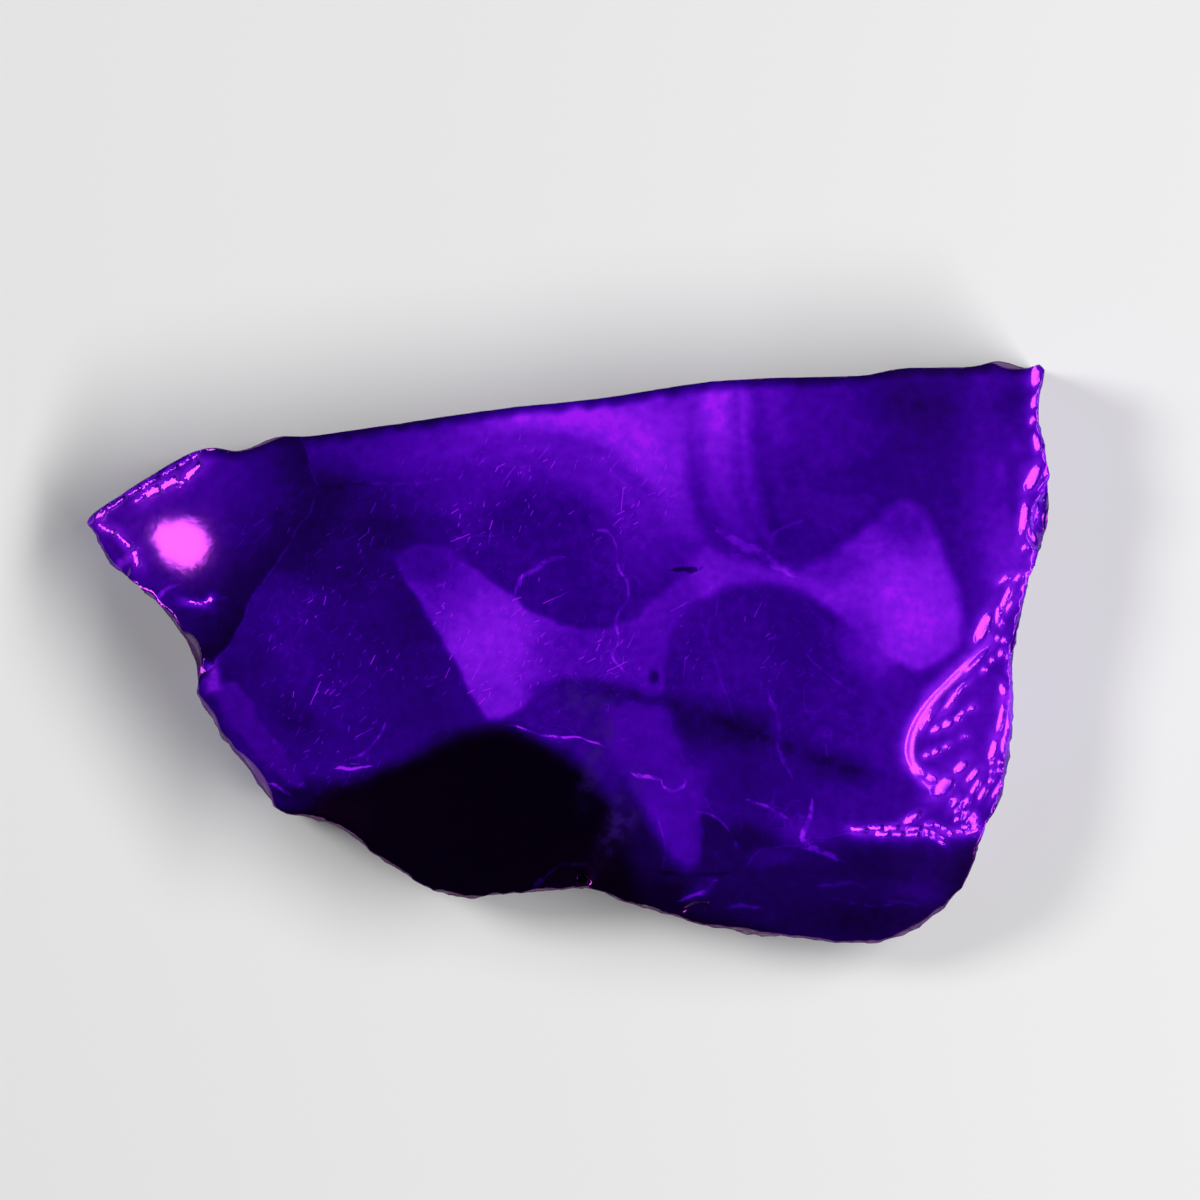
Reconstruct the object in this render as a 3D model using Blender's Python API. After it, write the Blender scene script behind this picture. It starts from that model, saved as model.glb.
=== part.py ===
"""Agate slice: one broken, sawn piece of agate, lying on its flat sawn back.

The slice is seen from above with +X to its right and +Y towards its straight sawn edge.
The origin is at the middle of its underside. All sizes below are millimetres.
"""

import math

import bmesh
import bpy
from mathutils import Matrix, Vector

MM = 0.001

# Driving dimensions
THICKNESS = 9.0
WIDEST_HEIGHT = 3.4
BACK_INSET = 0.9
FACE_INSET = 0.3
RELIEF_STEP = 1.5

# The outer line of the slice, clockwise from its left tip
SAWN_EDGE = [
    (-32.5, 8.9), (-30.4, 10.4), (-24.8, 13.6), (-21.8, 13.6), (-19.5, 14.5), (-17.0, 14.6),
    (-12.0, 15.3), (-4.5, 16.4), (2.2, 17.1), (9.5, 18.2), (15.5, 18.5), (19.5, 18.6), (22.5, 19.1),
    (26.8, 19.2), (28.8, 19.6), (30.6, 19.1), (31.5, 19.4),
]
CHIPPED_EDGE = [
    (32.0, 19.1), (31.9, 16.2), (32.2, 13.8), (32.6, 12.2), (32.5, 9.6), (32.1, 7.2), (31.3, 5.0),
    (30.7, 2.3), (30.1, -0.2), (30.1, -4.4), (29.6, -8.6), (29.2, -10.0), (27.9, -12.6),
    (27.4, -14.6), (26.2, -16.4),
]
LOWER_EDGE = [
    (24.2, -18.2), (21.8, -19.3), (18.4, -19.6), (14.2, -19.3), (9.6, -18.6), (5.2, -17.4),
    (2.4, -16.4), (0.8, -16.0), (-1.2, -16.2), (-5.0, -16.5), (-6.6, -16.8), (-9.6, -15.9),
    (-12.6, -14.2), (-13.7, -13.6), (-14.2, -12.7), (-16.2, -11.7), (-19.2, -11.0), (-20.4, -9.6),
]
LEFT_EDGE = [
    (-22.4, -6.9), (-24.2, -4.3), (-25.1, -3.0), (-25.4, -0.8), (-26.3, 1.4), (-28.4, 3.7),
    (-30.6, 5.4), (-31.7, 7.2),
]

# Left bulb: the face rolls down towards the tip from this line
BULB_LINE = ((-17.8, 14.7), (-24.2, -1.7))
BULB_RADIUS = 13.0

# Lower facet: below this crease the face tilts gently down
CREASE_LINE = ((1.5, -2.0), (21.5, -8.4))
CREASE_SLOPE = 0.09
CREASE_BLEND = 3.0

# Lower right shoulder: below this line the face rounds over to the lower edge
SHOULDER_LINE = ((7.5, -14.6), (28.0, -11.6))
SHOULDER_RADIUS = 7.0
SHOULDER_SLOPE = 0.12

# Lower left bevel: outside this line the face is broken off at a slant
BEVEL_LINE = ((-22.0, -1.6), (-17.2, -9.2))
BEVEL_SLOPE = 0.45
BEVEL_BLOCK = 12.0

# Shell-shaped scars, each a hollow with its middle (x, y), its half sizes where it meets the face,
# its turn about Z in degrees, its depth, and the height of the face that it cuts
FACE_SCARS = {
    "dark_hollow": ((-8.5, -15.6), (16.0, 9.0), 20.0, 2.5, THICKNESS),
    "ridge_sliver": ((0.6, -5.4), (3.4, 1.7), -14.0, 0.3, THICKNESS),
    "triangle_flake": ((8.2, -12.8), (3.0, 2.3), -40.0, 0.5, 8.3),
    "right_hollow": ((29.0, -5.4), (8.4, 4.2), 73.0, 1.5, THICKNESS),
    "right_lower_hollow": ((27.4, -10.6), (4.6, 2.4), 35.0, 1.1, 8.9),
    "right_upper_hollow": ((31.6, 3.4), (4.6, 2.3), 76.0, 1.6, THICKNESS),
    "edge_chip_long": ((32.6, 9.0), (4.0, 2.3), 88.0, 1.9, THICKNESS),
    "edge_chip_middle": ((32.9, 13.0), (2.2, 1.9), 80.0, 1.6, THICKNESS),
    "edge_chip_upper": ((32.6, 17.2), (2.6, 1.6), 92.0, 1.8, THICKNESS),
    "corner_chip": ((29.8, 20.3), (1.9, 1.3), 0.0, 1.4, THICKNESS),
    "tip_scar": ((-31.2, 5.6), (3.0, 2.4), -35.0, 1.1, 5.9),
    "rim_scar": ((-27.6, 12.9), (4.6, 1.7), 31.0, 0.7, 6.6),
    "left_nick": ((-20.6, 14.8), (2.3, 0.9), 18.0, 0.7, THICKNESS),
    "left_step": ((-25.6, -1.0), (1.9, 1.5), 70.0, 1.2, 7.4),
    "bevel_chip_upper": ((-24.9, -4.4), (2.3, 1.5), -60.0, 1.3, 7.6),
    "bevel_chip_lower": ((-21.8, -8.8), (2.5, 1.4), -55.0, 1.3, 7.4),
    "lower_notch": ((0.6, -15.7), (1.8, 1.5), 0.0, 1.2, 7.4),
    "shoulder_flake": ((8.4, -17.2), (2.0, 1.0), 25.0, 0.4, 7.0),
}

# Scars broken up into the back's rim, written in the same way
BACK_SCARS = {
    "back_left": ((-28.0, 5.0), (5.0, 2.6), -42.0, 1.4, 0.0),
    "back_lower_left": ((-17.4, -11.6), (5.0, 2.4), -28.0, 1.8, 0.0),
    "back_lower": ((-3.4, -17.2), (5.6, 2.2), 4.0, 1.5, 0.0),
    "back_lower_right": ((23.4, -18.6), (6.0, 3.0), 24.0, 2.2, 0.0),
    "back_right": ((30.9, -1.6), (6.2, 2.0), 84.0, 1.7, 0.0),
    "back_upper_right": ((32.6, 12.4), (5.0, 1.8), 92.0, 1.5, 0.0),
}

# Scars in the broken walls: middle (x, y, z), half length and half height, the way the wall faces
# in degrees from +X, and depth
WALL_SCARS = {
    "wall_left": ((-27.2, 2.6, 5.4), (4.6, 2.6), -138.0, 0.5),
    "wall_left_low": ((-23.4, -5.2, 1.0), (4.4, 2.6), -146.0, 0.6),
    "wall_lower_left": ((-17.2, -11.6, 5.8), (5.0, 2.8), -112.0, 0.7),
    "wall_hollow_low": ((-10.4, -15.2, 1.2), (6.2, 2.6), -118.0, 0.7),
    "wall_lower": ((-3.0, -16.5, 5.4), (5.2, 2.4), -86.0, 0.5),
    "wall_shoulder_low": ((12.0, -18.9, 0.8), (8.2, 2.2), -98.0, 0.8),
    "wall_corner": ((28.2, -12.4, 6.4), (4.4, 2.8), -22.0, 0.7),
    "wall_right_low": ((29.8, -7.0, 1.0), (6.2, 2.6), -8.0, 0.8),
    "wall_right": ((30.4, -0.4, 6.4), (5.4, 2.6), -2.0, 0.6),
    "wall_upper_right_low": ((32.3, 7.6, 0.8), (6.0, 2.5), 4.0, 0.7),
    "wall_upper_right": ((32.2, 13.6, 6.4), (4.6, 2.6), 2.0, 0.6),
    "wall_sawn_low": ((24.6, 19.2, 0.2), (4.6, 1.7), 90.0, 0.7),
    "wall_sawn_left": ((-14.4, 14.9, 0.1), (3.4, 1.2), 98.0, 0.5),
}

SCAR_ROUNDNESS = 3.2
SCAR_DETAIL = 4
WELD_DISTANCE = 0.004

STONE_COLOUR = (0.11, 0.012, 0.48, 1.0)
STONE_ROUGHNESS = 0.16


def clear_scene():
    """Remove whatever the open scene holds."""
    for item in list(bpy.data.objects):
        bpy.data.objects.remove(item, do_unlink=True)


def stone_material():
    """Polished deep violet stone."""
    material = bpy.data.materials.new("agate")
    material.use_nodes = True
    shader = material.node_tree.nodes["Principled BSDF"]
    shader.inputs["Base Color"].default_value = STONE_COLOUR
    shader.inputs["Roughness"].default_value = STONE_ROUGHNESS
    shader.inputs["Metallic"].default_value = 0.0
    return material


def outside_distance(line, x, y):
    """Distance of a point to the right of a line, looking along it from its first point."""
    (start_x, start_y), (end_x, end_y) = line
    along_x = end_x - start_x
    along_y = end_y - start_y
    length = math.hypot(along_x, along_y)
    return ((x - start_x) * along_y - (y - start_y) * along_x) / length


def bulb_drop(x, y):
    """How far the left bulb has rolled down at a point."""
    reach = max(0.0, outside_distance(BULB_LINE, x, y))
    return reach * reach / (2.0 * BULB_RADIUS)


def crease_drop(x, y):
    """How far the lower facet has tilted down at a point, fading out towards its left end."""
    reach = max(0.0, outside_distance(CREASE_LINE, x, y))
    left_end = CREASE_LINE[0][0]
    fade = min(1.0, max(0.0, (x - left_end) / CREASE_BLEND + 1.0))
    return CREASE_SLOPE * reach * fade


def shoulder_drop(x, y):
    """How far the lower right shoulder has rounded over at a point."""
    reach = max(0.0, outside_distance(SHOULDER_LINE, x, y))
    return SHOULDER_SLOPE * reach + reach * reach / (2.0 * SHOULDER_RADIUS)


def face_height(x, y):
    """Height of the front face, before the scars are cut."""
    drop = bulb_drop(x, y) + crease_drop(x, y) + shoulder_drop(x, y)
    return THICKNESS - drop


def wall_points():
    """The outer line, with 0 at each sawn point and 1 at each broken one."""
    sawn = [(point, 0.0) for point in SAWN_EDGE]
    broken = [(point, 1.0) for point in CHIPPED_EDGE + LOWER_EDGE + LEFT_EDGE]
    return sawn + broken


def inset_outline(inset):
    """The outer line drawn in by a distance where the edge is broken."""
    points = wall_points()
    count = len(points)
    line = []
    for index, ((x, y), broken) in enumerate(points):
        before = points[index - 1][0]
        after = points[(index + 1) % count][0]
        along = Vector(after) - Vector(before)
        inward = Vector((along.y, -along.x)).normalized()
        line.append((x + inward.x * inset * broken, y + inward.y * inset * broken))
    return line


def at_face(vert):
    """Whether a point of the plain slab lies in its front face."""
    return vert.co.z > THICKNESS - WELD_DISTANCE


def cut_face_into_cells(mesh, low, high):
    """Cut the front face into a grid that can follow its relief."""
    for axis in (Vector((1, 0, 0)), Vector((0, 1, 0))):
        place = axis.dot(low) + RELIEF_STEP
        while place < axis.dot(high):
            faces = [face for face in mesh.faces if all(at_face(vert) for vert in face.verts)]
            edges = {edge for face in faces for edge in face.edges}
            verts = {vert for face in faces for vert in face.verts}
            bmesh.ops.bisect_plane(
                mesh, geom=faces + list(edges) + list(verts), dist=WELD_DISTANCE,
                plane_co=axis * place, plane_no=axis)
            place += RELIEF_STEP


def make_slab():
    """The slab between the sawn back and the front face, with walls that swell at mid height."""
    levels = (
        (0.0, BACK_INSET),
        (WIDEST_HEIGHT * 0.4, BACK_INSET * 0.3),
        (WIDEST_HEIGHT, 0.0),
        (THICKNESS, FACE_INSET),
    )
    mesh = bmesh.new()
    rings = []
    for height, inset in levels:
        rings.append([mesh.verts.new((x, y, height)) for x, y in inset_outline(inset)])
    count = len(rings[0])
    for lower, upper in zip(rings, rings[1:]):
        for index in range(count):
            after = (index + 1) % count
            mesh.faces.new((lower[index], upper[index], upper[after], lower[after]))
    mesh.faces.new(rings[0])
    mesh.faces.new(list(reversed(rings[-1])))

    xs = [vert.co.x for vert in mesh.verts]
    ys = [vert.co.y for vert in mesh.verts]
    cut_face_into_cells(mesh, Vector((min(xs), min(ys), 0)), Vector((max(xs), max(ys), 0)))
    for vert in mesh.verts:
        if at_face(vert):
            vert.co.z = face_height(vert.co.x, vert.co.y)
    bmesh.ops.triangulate(mesh, faces=mesh.faces[:])
    bmesh.ops.recalc_face_normals(mesh, faces=mesh.faces[:])

    data = bpy.data.meshes.new("agate_slice")
    for vert in mesh.verts:
        vert.co *= MM
    mesh.to_mesh(data)
    mesh.free()
    slab = bpy.data.objects.new("agate_slice", data)
    bpy.context.scene.collection.objects.link(slab)
    return slab


def cut_with(slab, cutter, name):
    """Take a closed shape away from the slab."""
    cutter.name = "cutter_" + name
    cutter.hide_render = True
    cutter.display_type = "WIRE"
    cut = slab.modifiers.new(name, "BOOLEAN")
    cut.operation = "DIFFERENCE"
    cut.solver = "EXACT"
    cut.object = cutter


def add_cutter(mesh, shape):
    """Turn a bmesh, written in millimetres, into a placed object."""
    bmesh.ops.transform(mesh, matrix=Matrix.Scale(MM, 4) @ shape, verts=mesh.verts[:])
    bmesh.ops.recalc_face_normals(mesh, faces=mesh.faces[:])
    data = bpy.data.meshes.new("cutter")
    mesh.to_mesh(data)
    mesh.free()
    cutter = bpy.data.objects.new("cutter", data)
    bpy.context.scene.collection.objects.link(cutter)
    return cutter


def scar_cutter(surface_frame, half_sizes, depth):
    """An ellipsoid that dips by its depth into a surface, whose outward normal is the frame's Z."""
    radius = depth * SCAR_ROUNDNESS
    lift = radius - depth
    spread = 1.0 / math.sqrt(1.0 - (lift / radius) ** 2)
    size = Vector((half_sizes[0] * spread, half_sizes[1] * spread, radius))
    mesh = bmesh.new()
    bmesh.ops.create_icosphere(mesh, subdivisions=SCAR_DETAIL, radius=1.0)
    lifted = surface_frame @ Matrix.Translation((0.0, 0.0, lift))
    return add_cutter(mesh, lifted @ Matrix.Diagonal((*size, 1.0)))


def face_frame(scar):
    """Where a scar in the front face lies, with its Z up."""
    (x, y), _, turn, _, height = scar
    return Matrix.Translation((x, y, height)) @ Matrix.Rotation(math.radians(turn), 4, "Z")


def back_frame(scar):
    """Where a scar in the back lies, with its Z down."""
    return face_frame(scar) @ Matrix.Rotation(math.pi, 4, "X")


def wall_frame(scar):
    """Where a scar in a wall lies, with its X along the wall, its Y up and its Z outward."""
    place, _, facing, _ = scar
    turn = Matrix.Rotation(math.radians(facing + 90.0), 4, "Z")
    return Matrix.Translation(place) @ turn @ Matrix.Rotation(math.pi / 2.0, 4, "X")


def bevel_cutter():
    """A slanting block that takes off the lower left rim of the face."""
    (start_x, start_y), (end_x, end_y) = BEVEL_LINE
    along = Vector((end_x - start_x, end_y - start_y, 0.0)).normalized()
    outward = Vector((along.y, -along.x, 0.0))
    fall = (outward - Vector((0.0, 0.0, BEVEL_SLOPE))).normalized()
    up = along.cross(fall)
    if up.z < 0.0:
        up.negate()
    middle = Vector(((start_x + end_x) / 2.0, (start_y + end_y) / 2.0, THICKNESS))
    mesh = bmesh.new()
    bmesh.ops.create_cube(mesh, size=BEVEL_BLOCK)
    axes = Matrix((fall, up.cross(fall), up)).transposed().to_4x4()
    return add_cutter(mesh, Matrix.Translation(middle + (up + fall) * BEVEL_BLOCK / 2.0) @ axes)


def main():
    clear_scene()
    slab = make_slab()
    slab.data.materials.append(stone_material())
    cut_with(slab, bevel_cutter(), "bevel")
    for name, scar in FACE_SCARS.items():
        cut_with(slab, scar_cutter(face_frame(scar), scar[1], scar[3]), name)
    for name, scar in BACK_SCARS.items():
        cut_with(slab, scar_cutter(back_frame(scar), scar[1], scar[3]), name)
    for name, scar in WALL_SCARS.items():
        cut_with(slab, scar_cutter(wall_frame(scar), scar[1], scar[3]), name)


main()
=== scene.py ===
"""Looks of the agate slice: its fine broken surface, its banded violet stone, floor, lights and camera.

Shapes and markings are worked out in millimetres and turned into metres at the end.
"""

import itertools
import math

import bmesh
import bpy
import numpy as np
from mathutils import Matrix, Vector


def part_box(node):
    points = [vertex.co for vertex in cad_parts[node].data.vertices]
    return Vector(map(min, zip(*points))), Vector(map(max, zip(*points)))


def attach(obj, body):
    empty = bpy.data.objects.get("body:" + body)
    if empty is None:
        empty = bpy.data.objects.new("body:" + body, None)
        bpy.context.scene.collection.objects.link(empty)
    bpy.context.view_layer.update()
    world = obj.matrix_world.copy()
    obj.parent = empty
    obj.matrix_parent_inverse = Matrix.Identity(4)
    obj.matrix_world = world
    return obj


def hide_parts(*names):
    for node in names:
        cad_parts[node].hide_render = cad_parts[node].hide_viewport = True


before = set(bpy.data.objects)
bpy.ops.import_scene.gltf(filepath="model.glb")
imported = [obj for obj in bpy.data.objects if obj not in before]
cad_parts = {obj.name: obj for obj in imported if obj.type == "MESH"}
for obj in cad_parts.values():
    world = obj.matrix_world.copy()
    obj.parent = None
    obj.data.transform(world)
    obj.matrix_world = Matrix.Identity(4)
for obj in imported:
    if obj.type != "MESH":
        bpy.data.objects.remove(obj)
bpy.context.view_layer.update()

MM = 0.001
NODE = "agate_slice"

# The photograph's scale: a marking at a pixel lies at this place on the slice
PIXELS_PER_MM = 15.0
ORIGIN_PIXEL = (567.5, 654.5)
PHOTO_PIXELS = 1200

# Size of the solid, in millimetres
box_low, box_high = (np.array(corner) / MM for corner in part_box(NODE))
THICKNESS = box_high[2] - box_low[2]
WIDEST_HEIGHT = 3.4
BACK_INSET = 0.9
FACE_INSET = 0.12
WALL_PROFILE = (
    (0.0, BACK_INSET),
    (WIDEST_HEIGHT * 0.4, BACK_INSET * 0.3),
    (WIDEST_HEIGHT, 0.0),
    (THICKNESS, FACE_INSET),
)

# The outer line of the slice, clockwise from its left tip, as in the solid
SAWN_EDGE = [
    (-32.5, 8.9), (-30.4, 10.4), (-24.8, 13.6), (-21.8, 13.6), (-19.5, 14.5), (-17.0, 14.6),
    (-12.0, 15.3), (-4.5, 16.4), (2.2, 17.1), (9.5, 18.2), (15.5, 18.5), (19.5, 18.6), (22.5, 19.1),
    (26.8, 19.2), (28.8, 19.6), (30.6, 19.1), (31.5, 19.4), (32.0, 19.1),
]
BROKEN_EDGE = [
    (32.0, 19.1), (31.9, 16.2), (32.2, 13.8), (32.6, 12.2), (32.5, 9.6), (32.1, 7.2), (31.3, 5.0),
    (30.7, 2.3), (30.1, -0.2), (30.1, -4.4), (29.6, -8.6), (29.2, -10.0), (27.9, -12.6),
    (27.4, -14.6), (26.2, -16.4),
    (24.2, -18.2), (21.8, -19.3), (18.4, -19.6), (14.2, -19.3), (9.6, -18.6), (5.2, -17.4),
    (2.4, -16.4), (0.8, -16.0), (-1.2, -16.2), (-5.0, -16.5), (-6.6, -16.8), (-9.6, -15.9),
    (-12.6, -14.2), (-13.7, -13.6), (-14.2, -12.7), (-16.2, -11.7), (-19.2, -11.0), (-20.4, -9.6),
    (-22.4, -6.9), (-24.2, -4.3), (-25.1, -3.0), (-25.4, -0.8), (-26.3, 1.4), (-28.4, 3.7),
    (-30.6, 5.4), (-31.7, 7.2), (-32.5, 8.9),
]
OUTLINE_STEP = 0.5
SAWN_BLEND = 1.5

# The face's relief, much as in the solid
BULB_LINE = ((-17.8, 14.7), (-24.2, -1.7))
BULB_RADIUS = 20.0
CREASE_LINE = ((1.5, -2.0), (21.5, -8.4))
CREASE_SLOPE = 0.09
CREASE_BLEND = 3.0
SHOULDER_LINE = ((7.5, -14.6), (28.0, -11.6))
SHOULDER_RADIUS = 11.0
SHOULDER_SLOPE = 0.12
BEVEL_LINE = ((-22.0, -1.6), (-17.2, -9.2))
BEVEL_SLOPE = 0.45
BEVEL_BLOCK = 12.0

# Shell-shaped scars: middle (x, y), half sizes, turn in degrees, depth, height of the face there,
# then the height and spacing of the ripples that follow the scar's rim
FACE_SCARS = [
    ((-8.5, -15.6), (16.0, 9.0), 20.0, 2.3, THICKNESS, 0.0, 1.6),
    ((0.6, -5.4), (3.4, 1.7), -14.0, 0.3, THICKNESS, 0.0, 1.0),
    ((8.2, -12.8), (3.0, 2.3), -40.0, 0.28, 8.3, 0.0, 0.9),
    ((29.8, 20.3), (1.9, 1.3), 0.0, 1.4, THICKNESS, 0.0, 1.0),
    ((-20.6, 14.8), (2.3, 0.9), 18.0, 0.7, THICKNESS, 0.0, 1.0),
    ((-26.2, -1.0), (1.9, 1.2), 70.0, 0.8, 6.6, 0.02, 0.6),
    ((-24.9, -4.4), (2.3, 1.3), -60.0, 0.6, 7.6, 0.02, 0.6),
    ((-21.8, -8.8), (2.5, 1.2), -55.0, 0.6, 7.4, 0.02, 0.6),
    ((8.4, -17.2), (0.9, 0.4), 25.0, 0.1, 7.2, 0.0, 1.0),
]
BACK_SCARS = [
    ((-28.0, 5.0), (5.0, 2.6), -42.0, 1.4, 0.0, 0.02, 0.9),
    ((-17.4, -11.6), (5.0, 2.4), -28.0, 1.8, 0.0, 0.02, 0.9),
    ((-3.4, -17.2), (5.6, 2.2), 4.0, 1.5, 0.0, 0.02, 0.9),
    ((23.4, -18.6), (6.0, 3.0), 24.0, 2.2, 0.0, 0.02, 0.9),
    ((30.9, -1.6), (6.2, 2.0), 84.0, 1.7, 0.0, 0.02, 0.9),
    ((32.6, 12.4), (5.0, 1.8), 92.0, 1.5, 0.0, 0.02, 0.9),
]
WALL_SCARS = [
    ((-27.2, 2.6, 5.4), (4.6, 2.6), -138.0, 0.5),
    ((-23.4, -5.2, 1.0), (4.4, 2.6), -146.0, 0.6),
    ((-17.2, -11.6, 5.8), (5.0, 2.8), -112.0, 0.7),
    ((-10.4, -15.2, 1.2), (6.2, 2.6), -118.0, 0.7),
    ((-3.0, -16.5, 5.4), (5.2, 2.4), -86.0, 0.5),
    ((12.0, -18.9, 0.8), (8.2, 2.2), -98.0, 0.8),
    ((28.2, -12.4, 6.4), (4.4, 2.8), -22.0, 0.7),
    ((29.8, -7.0, 1.0), (6.2, 2.6), -8.0, 0.8),
    ((30.4, -0.4, 6.4), (5.4, 2.6), -2.0, 0.6),
    ((32.3, 7.6, 0.8), (6.0, 2.5), 4.0, 0.7),
    ((32.2, 13.6, 6.4), (4.6, 2.6), 2.0, 0.6),
    ((24.6, 19.2, 0.2), (4.6, 1.7), 90.0, 0.7),
    ((-14.4, 14.9, 0.1), (3.4, 1.2), 98.0, 0.5),
]
WALL_RIPPLE = (0.03, 0.9)
RIPPLE_FADE = (0.35, 0.85)
SCAR_ROUNDNESS = 3.2
SCAR_MARGIN = 0.8
SCAR_ROUNDING = 0.25

# Small shells all over the broken walls: their size, depth and seed, and how near the surface they
# count. Their places come from whole numbers, mixed by large factors.
WALL_SHELLS = ((2.6, 0.35, 3), (1.1, 0.16, 4))
SHELL_REACH = 1.2
HASH_FACTORS = (73856093, 19349663, 83492791)
HASH_SPREAD = 2654435761
HASH_LEVELS = 1024

# Low lumps of the walls: height, size and seed. Sawn walls have less of them than broken ones.
WALL_LUMPS = ((0.05, 2.2, 11), (0.025, 0.8, 12))
WALL_INSET = 0.05
SAWN_LUMPS = 0.25

# How rounded rims are, sawn and broken
RIM_ROUNDING = (0.12, 0.15)

# The lobe's start bends round its middle: a place level with that middle, the direction along the
# bulb's line there, how far the start lies in from that line, and the radius of its bend
LOBE_MIDDLE = (-25.9, 7.7)
LOBE_ALONG = (-0.364, -0.931)
LOBE_START = 2.2
LOBE_BEND = 5.5

# Shallow broken dents in the face: outline in the photograph's pixels, depth, rim width, slope of
# the floor, rounding of the rim, and the heights in pixels between which it grows to its full depth
DENTS = [
    ([(1012, 600), (998, 618), (984, 640), (967, 658), (950, 676), (932, 694), (918, 712), (909, 730),
      (905, 748), (908, 764), (920, 780), (936, 797), (954, 806), (966, 820), (976, 840), (1070, 846),
      (1070, 600)], 0.36, 0.6, 0.0, 0.1, (640, 675)),
    ([(1049, 350), (1049, 400), (1043, 425), (1046, 440), (1051, 462), (1044, 492), (1033, 505),
      (1030, 540), (1037, 560), (1029, 580), (1020, 605), (1013, 640), (1013, 700), (1010, 750),
      (1001, 790), (989, 830), (984, 870), (1090, 870), (1090, 350)], 0.1, 0.15, 0.75, 0.02, (0, 1)),
    ([(90, 530), (107, 538), (118, 547), (126, 557), (131, 571), (122, 580), (90, 580), (76, 540)],
     0.3, 0.4, 0.0, 0.03, (0, 1)),
]
DENT_WEAK = 0.35
DENT_NOISE = (0.12, 0.9, 31)
DENT_MARGIN = 1.0
DENT_STEP = 0.3

# A small pit: middle in pixels, radius and depth
PIT = ((582, 880), 0.42, 1.2)

# A fan of curved ripples: middle, first and last radius in pixels, directions, spacing, height.
# It fades out over this distance and this many degrees.
FANS = [((930, 905), (66, 86), (52.0, 118.0), 5.0, 0.012)]
FAN_FADE = (1.0, 16.0)

# Small broken facets: middle and half sizes in pixels, turn in degrees
RIGHT_FACETS = [
    ((1036, 377), (10, 5), 88), ((1035, 402), (7, 4), 75), ((1033, 420), (5, 3), 70),
    ((1037, 443), (9, 3.5), 100), ((1045, 456), (5, 2.5), 96), ((1033, 478), (14, 6), 62),
    ((1047, 472), (5, 3), 70), ((1044, 488), (8, 2.6), 52), ((1024, 519), (16, 4.5), 82),
    ((1036, 513), (11, 2.6), 80), ((1029, 531), (8, 2.2), 95), ((1025, 547), (4, 2.5), 50),
    ((1034, 557), (5, 3), 70), ((1004, 580), (7, 2.8), 42), ((1018, 578), (7, 2.8), 42),
    ((1028, 574), (3, 2.4), 30), ((1024, 588), (4, 2.4), 60), ((1005, 600), (15, 3), 66),
    ((998, 615), (8, 2.8), 84), ((1010, 606), (7, 2.6), 62), ((1001, 622), (5, 2.8), 80),
    ((983, 628), (16, 6), 65), ((998, 638), (3, 2.6), 60), ((1004, 640), (3, 2.6), 60),
    ((1001, 653), (4, 3), 60), ((1008, 657), (3, 2.4), 60), ((992, 660), (3, 2.4), 60),
    ((984, 670), (4, 2.2), 40), ((975, 663), (20, 2.4), 45), ((953, 699), (21, 2.4), 50),
    ((927, 720), (11, 2.4), 60), ((936, 729), (6, 3.2), 30), ((947, 724), (7, 4), 30),
    ((957, 719), (5, 3.2), 30), ((962, 713), (4, 2.4), 30), ((971, 709), (5, 2.6), 30),
    ((927, 755), (4, 2.6), 30), ((935, 752), (6, 3), 30), ((946, 747), (4, 2.4), 30),
    ((964, 737), (4, 2), 30), ((918, 771), (9, 5), -35), ((930, 778), (8, 4.5), -30),
    ((943, 787), (13, 7), 40), ((961, 767), (8, 4.6), 40), ((973, 775), (9, 3.6), 48),
    ((976, 786), (9, 2.6), 60), ((983, 793), (8, 2.6), 60), ((966, 803), (7, 2.8), 60),
    ((954, 803), (6, 3.4), 60), ((957, 811), (3.5, 2.6), 50), ((957, 819), (3.5, 2.4), 50),
    ((965, 817), (4, 2.4), 50), ((976, 817), (4, 2.4), 110), ((912, 818), (11, 4), 35),
    ((1001, 718), (15, 2.8), 78), ((1008, 724), (19, 2.2), 82), ((1014, 712), (8, 2.2), 82),
    ((1004, 745), (8, 3.2), 85), ((993, 750), (10, 3.6), 74), ((992, 763), (3, 2.4), 60),
    ((1000, 762), (3, 2.4), 60), ((992, 771), (3, 2.4), 60), ((999, 770), (3, 2.4), 60),
    ((991, 780), (4, 2.4), 60), ((997, 790), (9, 2.2), 62), ((1003, 690), (6, 3.6), 100),
    ((1013, 690), (8, 2.2), 86), ((1011, 672), (6, 2.2), 100),
]
LEFT_FACETS = [
    ((139, 499), (6, 2.6), 24), ((181, 483), (6, 2.8), 20), ((193, 457), (6, 3.4), 30),
    ((99, 516), (5, 4), 40), ((87, 519), (4, 3.5), 40),
]
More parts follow.
